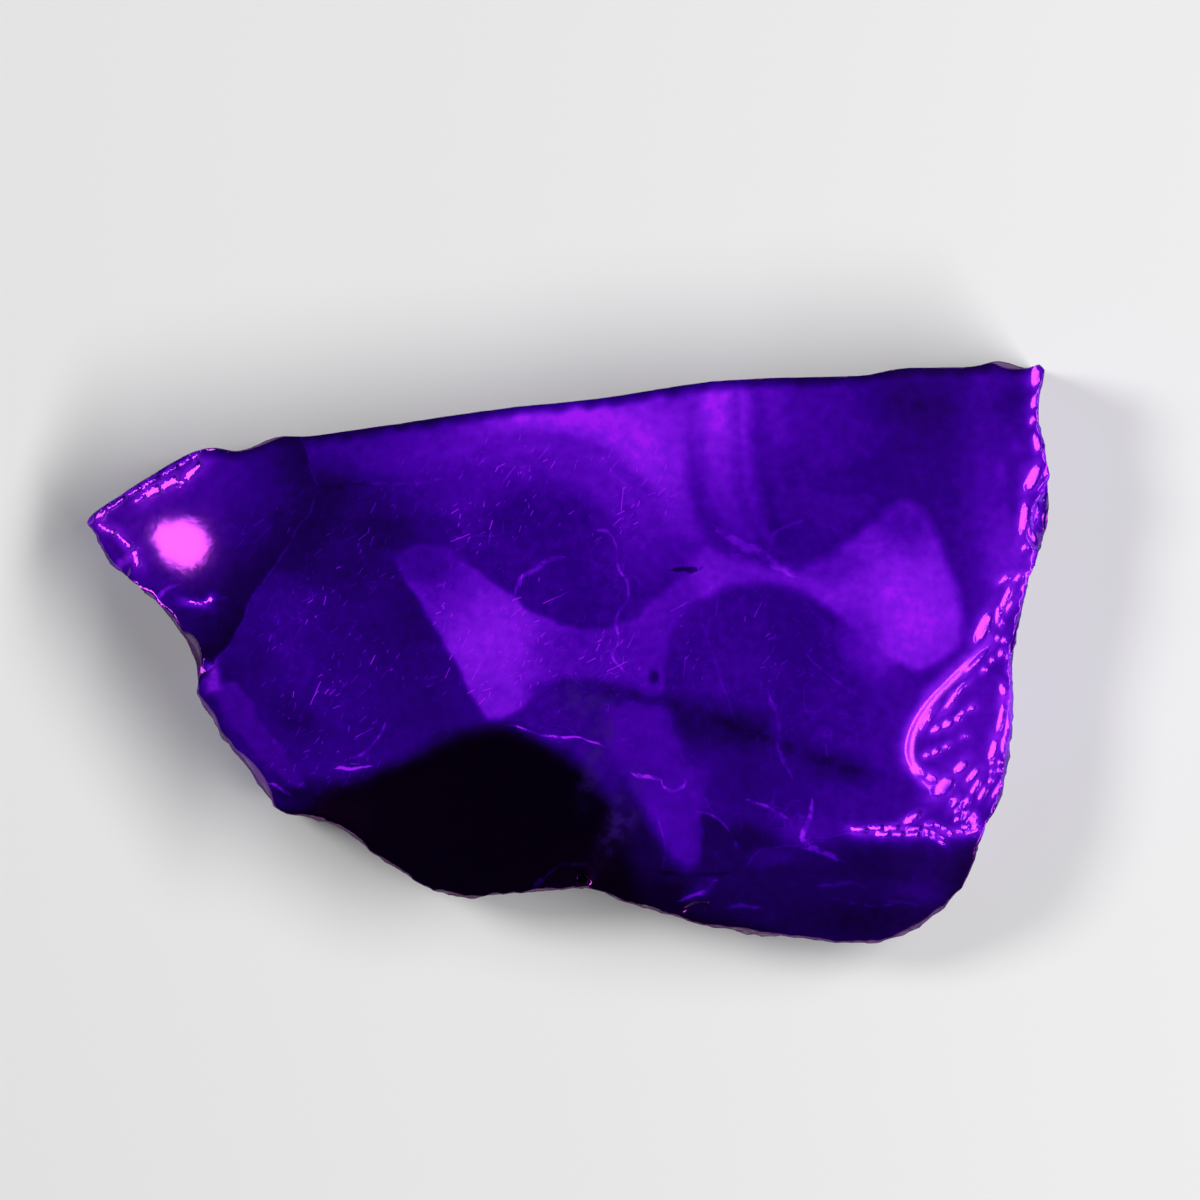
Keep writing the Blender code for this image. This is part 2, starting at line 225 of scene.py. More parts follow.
# Rows of ledges: line, a ledge's length and half its width, in pixels
RIGHT_ROWS = [
    ([(868, 828), (900, 827.5)], 16.0, 2.5), ([(850, 829), (868, 831)], 16.0, 2.3),
    ([(876, 834), (904, 834)], 14.0, 2.4), ([(906, 829), (922, 828)], 16.0, 2.5),
    ([(906, 834.5), (920, 834.5)], 14.0, 2.2),
    ([(924, 825), (934, 825), (941, 826.5), (947, 830), (953, 836)], 9.0, 2.2),
    ([(923, 830.5), (930, 831.5), (937, 834.5), (945, 840)], 8.0, 2.0),
    ([(923, 835), (930, 836), (937, 839), (944, 844)], 8.0, 1.8),
    ([(957, 831), (964, 833), (972, 832), (979, 829)], 7.0, 2.2), ([(962, 827), (979, 824)], 7.0, 2.2),
]
LEFT_ROWS = [
    ([(93, 519.5), (124, 496.5), (191, 458.5)], 16.0, 2.3),
    ([(141, 497), (177, 479)], 20.0, 5.0),
    ([(184, 480), (201, 463)], 24.0, 4.2),
    ([(97, 525), (114, 532.5), (131, 548)], 20.0, 3.0),
    ([(133, 553), (138, 566)], 16.0, 3.6),
    ([(187, 602), (203, 605)], 16.0, 2.3), ([(203, 605), (211, 598)], 12.0, 2.3),
    ([(209, 663), (211, 676), (213, 690)], 4.6, 4.0),
]

# How facets lean: direction, how far they may turn from it, how much their slope grows from their
# middle to their rim, and how square they are
RIGHT_LEAN = (-6.0, 30.0, 0.12, 2.0)
LEFT_LEAN = (158.0, 10.0, 0.0, 2.0)
RIGHT_LEDGE = (-6.0, 30.0, 0.0, 8.0)
LEFT_LEDGE = (158.0, 10.0, 0.0, 8.0)

# Facets: the slope at which they glint, how far they sink below the face at their rim, the width of
# their border as a share of their size, how far round them they are worked out, and how many places
# of their rim set their level
FACET_SLOPE = 0.384
FACET_SINK = 0.015
FACET_BORDER = 0.6
FACET_MARGIN = 1.5
RIM_PLACES = 16

# Small chips along broken rims: their lean in degrees, their depth and width beside their size, and
# how far they may turn. Then each rim in pixels, how many, how far in, and square roots of sizes.
CHIP_SEED = 5
CHIP_LEAN = (8.0, 30.0)
CHIP_DEPTH = (0.08, 0.2)
CHIP_WIDTH = (0.4, 0.75)
CHIP_TURN = 25.0
CHIP_STEP = 0.2
CHIPPED_RIMS = [
    ([(1052, 366), (1052, 410), (1058, 460), (1056, 520), (1044, 575), (1034, 610), (1026, 650),
      (1024, 710), (1018, 770), (1000, 830)], 60, (-0.3, 0.6), (0.5, 0.95)),
    ([(300, 785), (262, 765), (236, 730), (206, 704), (196, 668)], 22, (-0.4, 0.8), (0.5, 0.9)),
]

# The surface's grid, with finer steps at both ends and in a band across, and the maps of its plan
GRID_STEP = 0.15
MAP_STEP = 0.06
WIDE_MAP_STEP = 0.2
MAP_MARGIN = 2.0
FINE_ZONES = (-22.5, 19.0)
FINE_BAND = (-13.2, -10.6)
FINE_SHARE = 0.66
COARSE_SHARE = 1.45
BACK_STEPS = 2.0
NORMAL_REACH = 0.02
SETTLE_PULL = 0.08

# What the thinning keeps: all that faces up more than this, and points of the back this far apart
TRIANGLE_LIMIT = 196000
KEPT_SLOPE = 0.3
KEPT_SPACING = 0.9

# A fold is where two faces' directions agree less than this. Its points are smoothed a few times.
FOLD_LIMIT = -0.3
FOLD_PASSES = 6
FOLD_SMOOTHING = 0.5


def smooth_line(points, spacing):
    """A smooth curve through points, as short steps of about that length."""
    line = []
    last = len(points) - 1
    for index in range(last):
        p0, p1 = np.array(points[max(index - 1, 0)]), np.array(points[index])
        p2, p3 = np.array(points[index + 1]), np.array(points[min(index + 2, last)])
        steps = max(1, int(np.linalg.norm(p2 - p1) / spacing))
        for t in np.arange(steps) / steps:
            bend = 2.0 * p0 - 5.0 * p1 + 4.0 * p2 - p3
            twist = 3.0 * (p1 - p2) + p3 - p0
            line.append(p1 + 0.5 * t * ((p2 - p0) + t * (bend + t * twist)))
    line.append(np.array(points[-1]))
    return np.array(line)


def rise(value, low, high):
    """How far a value lies between two others: 0 below the first, 1 above the second."""
    return np.clip((value - low) / (high - low), 0.0, 1.0)


def distance_to_line(x, y, line):
    """Distance of points to an open line of straight steps."""
    nearest = np.full(x.shape, 1e9)
    for start, end in zip(line[:-1], line[1:]):
        along = end - start
        length_squared = max(along @ along, 1e-12)
        place = ((x - start[0]) * along[0] + (y - start[1]) * along[1]) / length_squared
        place = np.clip(place, 0.0, 1.0)
        gap_x = x - start[0] - place * along[0]
        gap_y = y - start[1] - place * along[1]
        nearest = np.minimum(nearest, gap_x * gap_x + gap_y * gap_y)
    return np.sqrt(nearest)


def inside_line(x, y, line):
    """Whether points lie inside a closed line."""
    inside = np.zeros(x.shape, dtype=bool)
    for (x0, y0), (x1, y1) in zip(line, np.roll(line, -1, axis=0)):
        if y0 == y1:
            continue
        crosses = (y0 > y) != (y1 > y)
        inside ^= crosses & (x < (x1 - x0) * (y - y0) / (y1 - y0) + x0)
    return inside


class PlanMap:
    """Values over the slice's plan, kept as a grid and read anywhere by blending its cells."""

    def __init__(self, step, value_at):
        self.step = step
        self.low = box_low[:2] - MAP_MARGIN
        count = ((box_high[:2] + MAP_MARGIN - self.low) / step).astype(int) + 2
        xs = self.low[0] + step * np.arange(count[0])
        ys = self.low[1] + step * np.arange(count[1])
        self.grid = value_at(*np.meshgrid(xs, ys, indexing="ij"))

    def read(self, x, y):
        """The value at points."""
        u = np.clip((x - self.low[0]) / self.step, 0, self.grid.shape[0] - 1.001)
        v = np.clip((y - self.low[1]) / self.step, 0, self.grid.shape[1] - 1.001)
        i = u.astype(int)
        j = v.astype(int)
        s = u - i
        t = v - j
        low = self.grid[i, j] * (1 - s) + self.grid[i + 1, j] * s
        high = self.grid[i, j + 1] * (1 - s) + self.grid[i + 1, j + 1] * s
        return low * (1 - t) + high * t


def line_distance(x, y, line):
    """Signed distance to a closed line: negative inside it."""
    distance = distance_to_line(x, y, line)
    return np.where(inside_line(x, y, line), -distance, distance)


def outline_distance(x, y):
    """Signed distance to the slice's outer line."""
    return line_distance(x, y, smooth_line(SAWN_EDGE + BROKEN_EDGE[1:], OUTLINE_STEP))


def edge_brokenness(x, y):
    """0 near the sawn edge, 1 near the broken ones."""
    to_sawn = distance_to_line(x, y, smooth_line(SAWN_EDGE, OUTLINE_STEP))
    to_broken = distance_to_line(x, y, smooth_line(BROKEN_EDGE, OUTLINE_STEP))
    return np.clip(0.5 + (to_sawn - to_broken) / SAWN_BLEND, 0.0, 1.0)


def wave_noise(x, y, z, size, seed, waves=10):
    """Smooth noise, mostly between -1 and 1, whose lumps are about that size."""
    rng = np.random.default_rng(seed)
    total = 0.0
    for _ in range(waves):
        direction = rng.normal(size=3)
        direction *= 2.0 * math.pi / (np.linalg.norm(direction) * size * rng.uniform(0.7, 1.5))
        phase = rng.uniform(0.0, 2.0 * math.pi)
        total = total + np.sin(x * direction[0] + y * direction[1] + z * direction[2] + phase)
    return total / math.sqrt(waves)


def soft_mask(distance, border):
    """1 where a distance is well below zero, 0 where it is well above, over a soft border."""
    share = np.clip(0.5 - distance / border, 0.0, 1.0)
    return share * share * (3.0 - 2.0 * share)


def shell_noise(x, y, z, size, seed):
    """Overlapping hollow shells with sharp ridges between them: 1 in each one's middle, 0 at ridges."""
    cells = [np.floor(value / size).astype(np.int64) for value in (x, y, z)]
    parts = [value / size - cell for value, cell in zip((x, y, z), cells)]
    nearest = np.full(x.shape, 9.0)
    steps = (-1, 0, 1)
    for place in itertools.product(steps, steps, steps):
        mixed = 0
        for cell, step, factor in zip(cells, place, HASH_FACTORS):
            mixed = mixed ^ (cell + step) * factor
        away = 0.0
        for step, part, turn in zip(place, parts, (3, 15, 27)):
            chance = ((mixed + seed) * turn * HASH_SPREAD >> 7) % HASH_LEVELS
            away = away + (step + chance / HASH_LEVELS - part) ** 2
        nearest = np.minimum(nearest, away)
    return np.clip(1.0 - nearest, 0.0, 1.0)


def outside_distance(line, x, y):
    """Distance of points to the right of a line, looking along it from its first point."""
    (start_x, start_y), (end_x, end_y) = line
    along_x = end_x - start_x
    along_y = end_y - start_y
    length = math.hypot(along_x, along_y)
    return ((x - start_x) * along_y - (y - start_y) * along_x) / length


def round_max(a, b, radius):
    """The larger of two values, rounded where they meet."""
    share = np.maximum(radius - np.abs(a - b), 0.0) / radius
    return np.maximum(a, b) + share * share * radius / 4.0


def place_mm(pixels):
    """Places on the slice, in millimetres, from pixels of the photograph."""
    pixels = np.array(pixels, dtype=float)
    middle = np.array(ORIGIN_PIXEL)
    return (pixels - middle) / (PIXELS_PER_MM, -PIXELS_PER_MM)


def near_line(x, y, line, margin):
    """Which points lie in the upright box round a line, with a margin."""
    low, high = line.min(axis=0) - margin, line.max(axis=0) + margin
    return (x > low[0]) & (x < high[0]) & (y > low[1]) & (y < high[1])


def dent_drop(x, y, outline, depth, rim_width, fall, rounding, sets_in):
    """How far a shallow broken dent lowers the face: a steep rim, then a floor that falls gently."""
    line = smooth_line(place_mm(outline + outline[:1]), DENT_STEP)
    height, size, seed = DENT_NOISE
    inside = -line_distance(x, y, line) + fall * height * wave_noise(x, y, 0.0 * x, size, seed)
    inside = 0.5 * (inside + np.sqrt(inside * inside + rounding ** 2))
    pixel_y = ORIGIN_PIXEL[1] - PIXELS_PER_MM * y
    depth = depth * np.interp(pixel_y, sets_in, (DENT_WEAK, 1.0))
    return depth * np.tanh(inside / rim_width) + fall * inside


def fan_drop(x, y, middle, radii, directions, spacing, height):
    """Curved ripples in part of a ring round a middle."""
    low, high = (radius / PIXELS_PER_MM for radius in radii)
    across, up = x - place_mm(middle)[0], y - place_mm(middle)[1]
    reach = np.hypot(across, up)
    direction = np.degrees(np.arctan2(up, across))
    shown = soft_mask(np.maximum(low - reach, reach - high), FAN_FADE[0])
    beyond = np.maximum(directions[0] - direction, direction - directions[1])
    shown = shown * soft_mask(beyond, FAN_FADE[1])
    return height * shown * (1.0 - np.cos(2.0 * math.pi * (reach - low) * PIXELS_PER_MM / spacing))


def face_height(x, y):
    """Height of the front face, before the hollow scars are cut."""
    along = (x - LOBE_MIDDLE[0]) * LOBE_ALONG[0] + (y - LOBE_MIDDLE[1]) * LOBE_ALONG[1]
    start = LOBE_START - along * along / (2.0 * LOBE_BEND)
    bulb = np.maximum(0.0, outside_distance(BULB_LINE, x, y) + start)
    crease = np.maximum(0.0, outside_distance(CREASE_LINE, x, y))
    shoulder = np.maximum(0.0, outside_distance(SHOULDER_LINE, x, y))
    fade = np.clip((x - CREASE_LINE[0][0]) / CREASE_BLEND + 1.0, 0.0, 1.0)
    drop = bulb * bulb / (2.0 * BULB_RADIUS) + CREASE_SLOPE * crease * fade
    drop += SHOULDER_SLOPE * shoulder + shoulder * shoulder / (2.0 * SHOULDER_RADIUS)
    for dent in DENTS:
        near = near_line(x, y, place_mm(dent[0]), DENT_MARGIN)
        drop[near] += dent_drop(x[near], y[near], *dent)
    for fan in FANS:
        drop += fan_drop(x, y, *fan)
    pit_x, pit_y = place_mm(PIT[0])
    drop += PIT[2] * np.exp(-(((x - pit_x) ** 2 + (y - pit_y) ** 2) / PIT[1] ** 2) ** 2)
    return THICKNESS - drop


def all_facets():
    """Every small facet, with the direction that its kind leans in."""
    facets = [(*facet, RIGHT_LEAN) for facet in RIGHT_FACETS]
    facets += [(*facet, LEFT_LEAN) for facet in LEFT_FACETS]
    for rows, lean in ((RIGHT_ROWS, RIGHT_LEDGE), (LEFT_ROWS, LEFT_LEDGE)):
        for line, spacing, half_width in rows:
            steps = smooth_line(line, spacing)
            for start, end in zip(steps[:-1], steps[1:]):
                across, down = end - start
                half = (0.5 * math.hypot(across, down), half_width)
                turn = -math.degrees(math.atan2(down, across))
                facets.append(((start + end) / 2.0, half, turn, lean))
    return facets


def reach_out(x, y, place, half, turn, squareness):
    """How far points lie out in an ellipse, or in a squarer shape: 0 in its middle, 1 at its rim."""
    across, up = x - place[0], y - place[1]
    cos_turn, sin_turn = math.cos(math.radians(turn)), math.sin(math.radians(turn))
    u = np.abs(across * cos_turn + up * sin_turn) / half[0]
    v = np.abs(up * cos_turn - across * sin_turn) / half[1]
    return (u ** squareness + v ** squareness) ** (1.0 / squareness)


def facet_rim(place, half, turn, squareness):
    """Places round a facet's rim."""
    angles = 2.0 * math.pi * (np.arange(RIM_PLACES) + 0.5) / RIM_PLACES
    x, y = place[:, None] + max(half) * np.stack([np.cos(angles), np.sin(angles)])
    reach = reach_out(x, y, place, half, turn, squareness)
    return place[0] + (x - place[0]) / reach, place[1] + (y - place[1]) / reach


def facet_drop(x, y, ground, pixels, half_pixels, turn, lean):
    """How far a broken facet lowers the face, so that its floor leans towards its direction."""
    place = place_mm(pixels)
    half = np.array(half_pixels) / PIXELS_PER_MM
    lean_turn, spread, curve, squareness = lean
    beside = (turn + 90.0 - lean_turn + 90.0) % 180.0 - 90.0
    beside = math.radians(min(max(beside, -spread), spread))
    direction = math.radians(lean_turn) + beside
    slope = FACET_SLOPE / math.cos(beside)
    away = np.array((math.cos(direction), math.sin(direction)))
    skew = math.radians(turn) - direction
    width = math.hypot(half[0] * math.cos(skew), half[1] * math.sin(skew))
    rim_x, rim_y = facet_rim(place, half, turn, squareness)
    rim_along = (rim_x - place[0]) * away[0] + (rim_y - place[1]) * away[1]
    level = (ground.read(rim_x, rim_y) + slope * rim_along).min() - FACET_SINK
    along = (x - place[0]) * away[0] + (y - place[1]) * away[1]
    floor = level - slope * along - 0.5 * curve * (along * along / width - width)
    out = reach_out(x, y, place, half, turn, squareness) - 1.0
    shown = soft_mask(out, FACET_BORDER / squareness)
    return shown * np.maximum(0.0, ground.read(x, y) - floor)


def near_place(x, y, place, reach):
    """Which points lie in a square round a place."""
    return (np.abs(x - place[0]) < reach) & (np.abs(y - place[1]) < reach)


def chipped_height(x, y):
    """Height of the front face with its small facets."""
    deepest = np.zeros(x.shape)
    for pixels, half, turn, lean in all_facets():
        near = near_place(x, y, place_mm(pixels), FACET_MARGIN * max(half) / PIXELS_PER_MM)
        drop = facet_drop(x[near], y[near], ground_map, pixels, half, turn, lean)
        deepest[near] = np.maximum(deepest[near], drop)
    return ground_map.read(x, y) - deepest


class Hollow:
    """An ellipsoid that dips into the stone, with ripples that follow its rim."""

    def __init__(self, surface_frame, half_sizes, depth, ripple, spacing):
        radius = depth * SCAR_ROUNDNESS
        lift = radius - depth
        spread = 1.0 / math.sqrt(1.0 - (lift / radius) ** 2)
        self.half = np.array(half_sizes)
        self.size = np.array((half_sizes[0] * spread, half_sizes[1] * spread, radius))
        self.axes = np.array(surface_frame.to_3x3()).T
        self.middle = np.array(surface_frame @ Vector((0.0, 0.0, lift)))
        self.surface = np.array(surface_frame.translation)
        self.reach = max(half_sizes) + SCAR_MARGIN
        self.ripple = ripple
        self.spacing = spacing
        self.rounding = min(SCAR_ROUNDING, 0.5 * depth)

    def near(self, x, y, z):
        """Which points are close enough for the hollow to matter."""
        close = near_place(x, y, self.surface, self.reach)
        return close & (np.abs(z - self.surface[2]) < self.reach)

    def depth_outside(self, x, y, z):
        """Signed distance to the ellipsoid: negative in the part that is taken away."""
        offset = np.stack([x, y, z]) - self.middle[:, None]
        local = self.axes @ offset
        scaled = local / self.size[:, None]
        k0 = np.sqrt((scaled * scaled).sum(axis=0))
        k1 = np.sqrt(((scaled / self.size[:, None]) ** 2).sum(axis=0)) + 1e-9
        distance = k0 * (k0 - 1.0) / k1
        if self.ripple:
            rim = np.hypot(local[0] / self.half[0], local[1] / self.half[1])
            wave = np.cos(2.0 * math.pi * (1.0 - rim) * self.half[1] / self.spacing)
            distance += self.ripple * wave * rise(rim, *RIPPLE_FADE)
        return distance


def face_frame(place, turn, height):
    """Where a scar in the front face lies, with its Z up."""
    return Matrix.Translation((*place, height)) @ Matrix.Rotation(math.radians(turn), 4, "Z")


def wall_frame(place, facing):
    """Where a scar in a wall lies, with its X along the wall, its Y up and its Z outward."""
    turn = Matrix.Rotation(math.radians(facing + 90.0), 4, "Z")
    return Matrix.Translation(place) @ turn @ Matrix.Rotation(math.pi / 2.0, 4, "X")


def all_hollows():
    """Every scar of the solid."""
    hollows = []
    for place, half, turn, depth, height, ripple, spacing in FACE_SCARS:
        hollows.append(Hollow(face_frame(place, turn, height), half, depth, ripple, spacing))
    for place, half, turn, depth, height, ripple, spacing in BACK_SCARS:
        flipped = face_frame(place, turn, height) @ Matrix.Rotation(math.pi, 4, "X")
        hollows.append(Hollow(flipped, half, depth, ripple, spacing))
    for place, half, facing, depth in WALL_SCARS:
        hollows.append(Hollow(wall_frame(place, facing), half, depth, *WALL_RIPPLE))
    return hollows


def chip_hollows():
    """Many small chips along the broken rims, each a shallow shell a little way in from the rim."""
    rng = np.random.default_rng(CHIP_SEED)
    chips = []
    for rim, count, inward, sizes in CHIPPED_RIMS:
        line = smooth_line(place_mm(rim), CHIP_STEP)
        for _ in range(count):
            index = rng.integers(1, len(line) - 1)
            along = line[index + 1] - line[index - 1]
            along /= np.linalg.norm(along)
            to_inside = np.array((along[1], -along[0]))
            place = line[index] + to_inside * rng.uniform(*inward)
            size = rng.uniform(*sizes) ** 2
            half = (size, size * rng.uniform(*CHIP_WIDTH))
            turn = math.degrees(math.atan2(along[1], along[0])) + rng.uniform(-CHIP_TURN, CHIP_TURN)
            height = float(height_map.read(*place[:, None])[0])
            lean = Matrix.Rotation(math.radians(rng.uniform(*CHIP_LEAN)), 4, "X")
            depth = half[1] * rng.uniform(*CHIP_DEPTH)
            chips.append(Hollow(face_frame(place, turn, height) @ lean, half, depth, 0.0, 1.0))
    return chips


distance_map = PlanMap(WIDE_MAP_STEP, outline_distance)
broken_map = PlanMap(WIDE_MAP_STEP, edge_brokenness)
ground_map = PlanMap(MAP_STEP, face_height)
height_map = PlanMap(MAP_STEP, chipped_height)
hollows = all_hollows() + chip_hollows()


def bevel_field(x, y, z):
    """Signed distance below the slanting cut of the lower left rim."""
    (start_x, start_y), (end_x, end_y) = BEVEL_LINE
    length = math.hypot(end_x - start_x, end_y - start_y)
    along_x, along_y = (end_x - start_x) / length, (end_y - start_y) / length
    outward = outside_distance(BEVEL_LINE, x, y)
    along = (x - start_x) * along_x + (y - start_y) * along_y - length / 2.0
    slope = math.hypot(1.0, BEVEL_SLOPE)
    above = (z - THICKNESS + BEVEL_SLOPE * outward) / slope
    return np.minimum(above, BEVEL_BLOCK / 2.0 - np.abs(along))


def stone_field(x, y, z):
    """Signed distance to the stone's surface, about right near it: negative inside."""
    heights, insets = zip(*WALL_PROFILE)
    broken = broken_map.read(x, y)
    wall = distance_map.read(x, y) + np.interp(z, heights, insets) * broken
    lumps = sum(height * wave_noise(x, y, z, size, seed) for height, size, seed in WALL_LUMPS)
    close = (np.abs(wall) < SHELL_REACH) & (broken > 0.0)
    if close.any():
        for size, depth, seed in WALL_SHELLS:
            shells = shell_noise(x[close], y[close], z[close], size, seed)
            lumps[close] += depth * shells * broken[close]
    wall = wall + (WALL_INSET + lumps) * (SAWN_LUMPS + (1.0 - SAWN_LUMPS) * broken)
    rim = RIM_ROUNDING[0] + (RIM_ROUNDING[1] - RIM_ROUNDING[0]) * broken
    field = round_max(z - height_map.read(x, y), wall, rim)
    field = round_max(field, bevel_field(x, y, z), RIM_ROUNDING[1])
    field = round_max(field, -z, RIM_ROUNDING[0])
    x_low, x_high = x.min(), x.max()
    for hollow in hollows:
        if hollow.surface[0] - hollow.reach > x_high or hollow.surface[0] + hollow.reach < x_low:
            continue
        near = hollow.near(x, y, z)
        if near.any():
            cut = -hollow.depth_outside(x[near], y[near], z[near])
            field[near] = round_max(field[near], cut, hollow.rounding)
    return field


def field_grid(xs, ys, zs):
    """The stone's field at every point of a grid, one slab of columns at a time."""
    values = np.empty((len(xs), len(ys), len(zs)), dtype=np.float32)
    y, z = np.meshgrid(ys, zs, indexing="ij")
    y, z = y.ravel(), z.ravel()
    for i, x in enumerate(xs):
        values[i] = stone_field(np.full(y.shape, x), y, z).reshape(len(ys), len(zs))
    return values


def field_normals(points):
    """Outward normals of the field at points."""
    normals = np.empty_like(points)
    for axis in range(3):
        ahead = points.copy()
        behind = points.copy()
        ahead[:, axis] += NORMAL_REACH
        behind[:, axis] -= NORMAL_REACH
        normals[:, axis] = stone_field(*ahead.T) - stone_field(*behind.T)
    length = np.linalg.norm(normals, axis=1, keepdims=True)
    return normals / np.maximum(length, 1e-9)


def stepped(low, steps):
    """Places from a start to each of some ends, with each stretch's own step."""
    places = [np.array([low])]
    for end, step in steps:
        places.append(np.arange(places[-1][-1] + step, end + step, step))
    return np.concatenate(places)


def grid_axes(step):
    """Places of the grid along each axis, closer together at the chipped ends and near the face."""
    low = box_low - 2.0 * step
    high = box_high + 2.0 * step
    return [
        stepped(low[0], (
            (FINE_ZONES[0], step * FINE_SHARE),
            (FINE_ZONES[1], step * COARSE_SHARE),
            (high[0], step * FINE_SHARE),
        )),
        stepped(low[1], ((FINE_BAND[0], step), (FINE_BAND[1], step * FINE_SHARE), (high[1], step))),
        stepped(low[2], ((WIDEST_HEIGHT, step * BACK_STEPS), (high[2], step))),
    ]


def find_crossings(values, axis, axes):
    """Grid edges along an axis that the surface crosses: their cells' indices, places and senses."""
    before = np.take(values, range(values.shape[axis] - 1), axis=axis)
    after = np.take(values, range(1, values.shape[axis]), axis=axis)
    index = np.argwhere((before < 0.0) != (after < 0.0))
    start = before[tuple(index.T)]
    end = after[tuple(index.T)]
    points = np.stack([axes[a][index[:, a]] for a in range(3)], axis=1)
    length = axes[axis][index[:, axis] + 1] - points[:, axis]
    points[:, axis] += length * start / (start - end)
    return index, points, start < 0.0


def make_surface(step):
    """The stone's surface as points and quads, with its ridges kept sharp."""
    axes = grid_axes(step)
    values = field_grid(*axes)
    cell_counts = np.array([len(axis) - 1 for axis in axes])

    corner_cells = []
    normals = []
    places = []
    quads = []
    for axis in range(3):
        index, points, leaving = find_crossings(values, axis, axes)
        found = field_normals(points)
        second = (axis + 1) % 3
        third = (axis + 2) % 3
        ring = []
        for back_second, back_third in ((1, 1), (0, 1), (0, 0), (1, 0)):
            cell = index.copy()
            cell[:, second] -= back_second
            cell[:, third] -= back_third
            cell_id = (cell[:, 0] * cell_counts[1] + cell[:, 1]) * cell_counts[2] + cell[:, 2]
            ring.append(cell_id)
            corner_cells.append(cell_id)
            normals.append(found)
            places.append(points)
        ring = np.stack(ring, axis=1)
        quads.append(np.where(leaving[:, None], ring, ring[:, ::-1]))
    used, owner = np.unique(np.concatenate(corner_cells), return_inverse=True)
    verts = settle_points(owner, np.concatenate(places), np.concatenate(normals))

    cell = np.stack([
        used // (cell_counts[1] * cell_counts[2]),
        used // cell_counts[2] % cell_counts[1],
        used % cell_counts[2],
    ], axis=1)
    cell_low = np.stack([axes[a][cell[:, a]] for a in range(3)], axis=1)
    cell_high = np.stack([axes[a][cell[:, a] + 1] for a in range(3)], axis=1)
    quads = np.searchsorted(used, np.concatenate(quads))
    return np.clip(verts, cell_low, cell_high), quads


def settle_points(owner, places, normals):
    """Each cell's point: where the flat pieces of surface that cross its edges meet."""
    count = np.bincount(owner)
    middle = np.stack([np.bincount(owner, places[:, a]) / count for a in range(3)], axis=1)
    offset = ((places - middle[owner]) * normals).sum(axis=1)
    system = np.empty((len(count), 3, 3))
    target = np.empty((len(count), 3))
    for a in range(3):
        target[:, a] = np.bincount(owner, normals[:, a] * offset)
        for b in range(3):
            system[:, a, b] = np.bincount(owner, normals[:, a] * normals[:, b])
    system += SETTLE_PULL * count[:, None, None] * np.eye(3)
    return middle + np.linalg.solve(system, target[:, :, None])[:, :, 0]


# Markings, in pixels of the photograph. Tones run from 0, black, to 1, the brightest violet.
# First the outlines of the fields.
LIGHT_ARM = [
    (396, 560), (406, 548), (424, 545), (444, 551), (466, 563), (490, 580), (512, 597), (533, 610),
    (556, 622), (580, 628), (604, 629), (624, 623), (641, 611), (660, 594), (680, 577), (700, 566),
    (712, 580), (700, 597), (682, 614), (670, 636), (664, 662), (662, 694), (632, 692), (600, 684),
    (556, 688), (526, 704), (500, 722), (489, 722), (470, 692), (450, 655), (430, 620), (414, 594),
    (402, 576),
]
LIGHT_BAND = [
    (690, 564), (704, 546), (722, 552), (742, 560), (762, 567), (790, 568), (816, 574), (842, 586),
    (866, 600), (870, 640), (846, 622), (820, 603), (796, 590), (764, 582), (732, 586), (702, 598),
]
LIGHT_LOBE = [
    (812, 580), (806, 566), (832, 554), (856, 536), (880, 518), (894, 505), (907, 500), (920, 508),
    (931, 524), (944, 552), (955, 584), (962, 614), (961, 640), (950, 657), (930, 667), (905, 667),
    (884, 654), (866, 637), (848, 618),
]
FACET_LIGHT = [
    (604, 708), (634, 702), (664, 706), (672, 722), (681, 750), (689, 784), (697, 818), (703, 850),
    (694, 868), (672, 862), (656, 836), (640, 806), (622, 770), (606, 738),
]
LOWER_LOBE = [
    (666, 662), (670, 640), (684, 616), (704, 599), (734, 588), (764, 584), (796, 592), (820, 604),
    (846, 623), (868, 645), (874, 668), (862, 700), (866, 740), (858, 772), (800, 752), (740, 730),
    (690, 706), (668, 700),
]
DARK_POOL = [
    (306, 806), (330, 790), (360, 780), (394, 765), (424, 751), (446, 739), (476, 729), (502, 727),
    (526, 734), (552, 748), (576, 764), (598, 788), (612, 814), (624, 846), (634, 880), (640, 940),
    (480, 960), (280, 900), (270, 820),
]
BEVEL_LIGHT = [
    (212, 690), (224, 681), (238, 682), (248, 700), (258, 720), (276, 742), (296, 768), (306, 788),
    (290, 786), (268, 764), (248, 744), (228, 722),
]
TRIANGLE_LIGHT = [(702, 812), (716, 818), (730, 832), (740, 850), (734, 862), (718, 872), (704, 876)]

# The fields in the order in which they are laid: outline, width of the soft border, tone, and
# whether the shades of the light fields lie over it
FIELDS = [
    (FACET_LIGHT, 20.0, 0.67, False),
    (LIGHT_ARM, 7.0, 0.74, True),
    (LIGHT_BAND, 14.0, 0.84, False),
    (LIGHT_LOBE, 14.0, 0.86, True),
    (TRIANGLE_LIGHT, 5.0, 0.36, False),
    (BEVEL_LIGHT, 8.0, 0.66, False),
    (DARK_POOL, 26.0, 0.01, False),
]
GROUND_TONE = 0.56

# The lower lobe only darkens what lies under it: border, strength, and its share of the tone there
LOWER_SHADE = (10.0, 0.8, 0.93)

# Lines of markings are drawn in steps of this length
FIELD_STEP = 6.0
LINE_MARK_STEP = 4.0

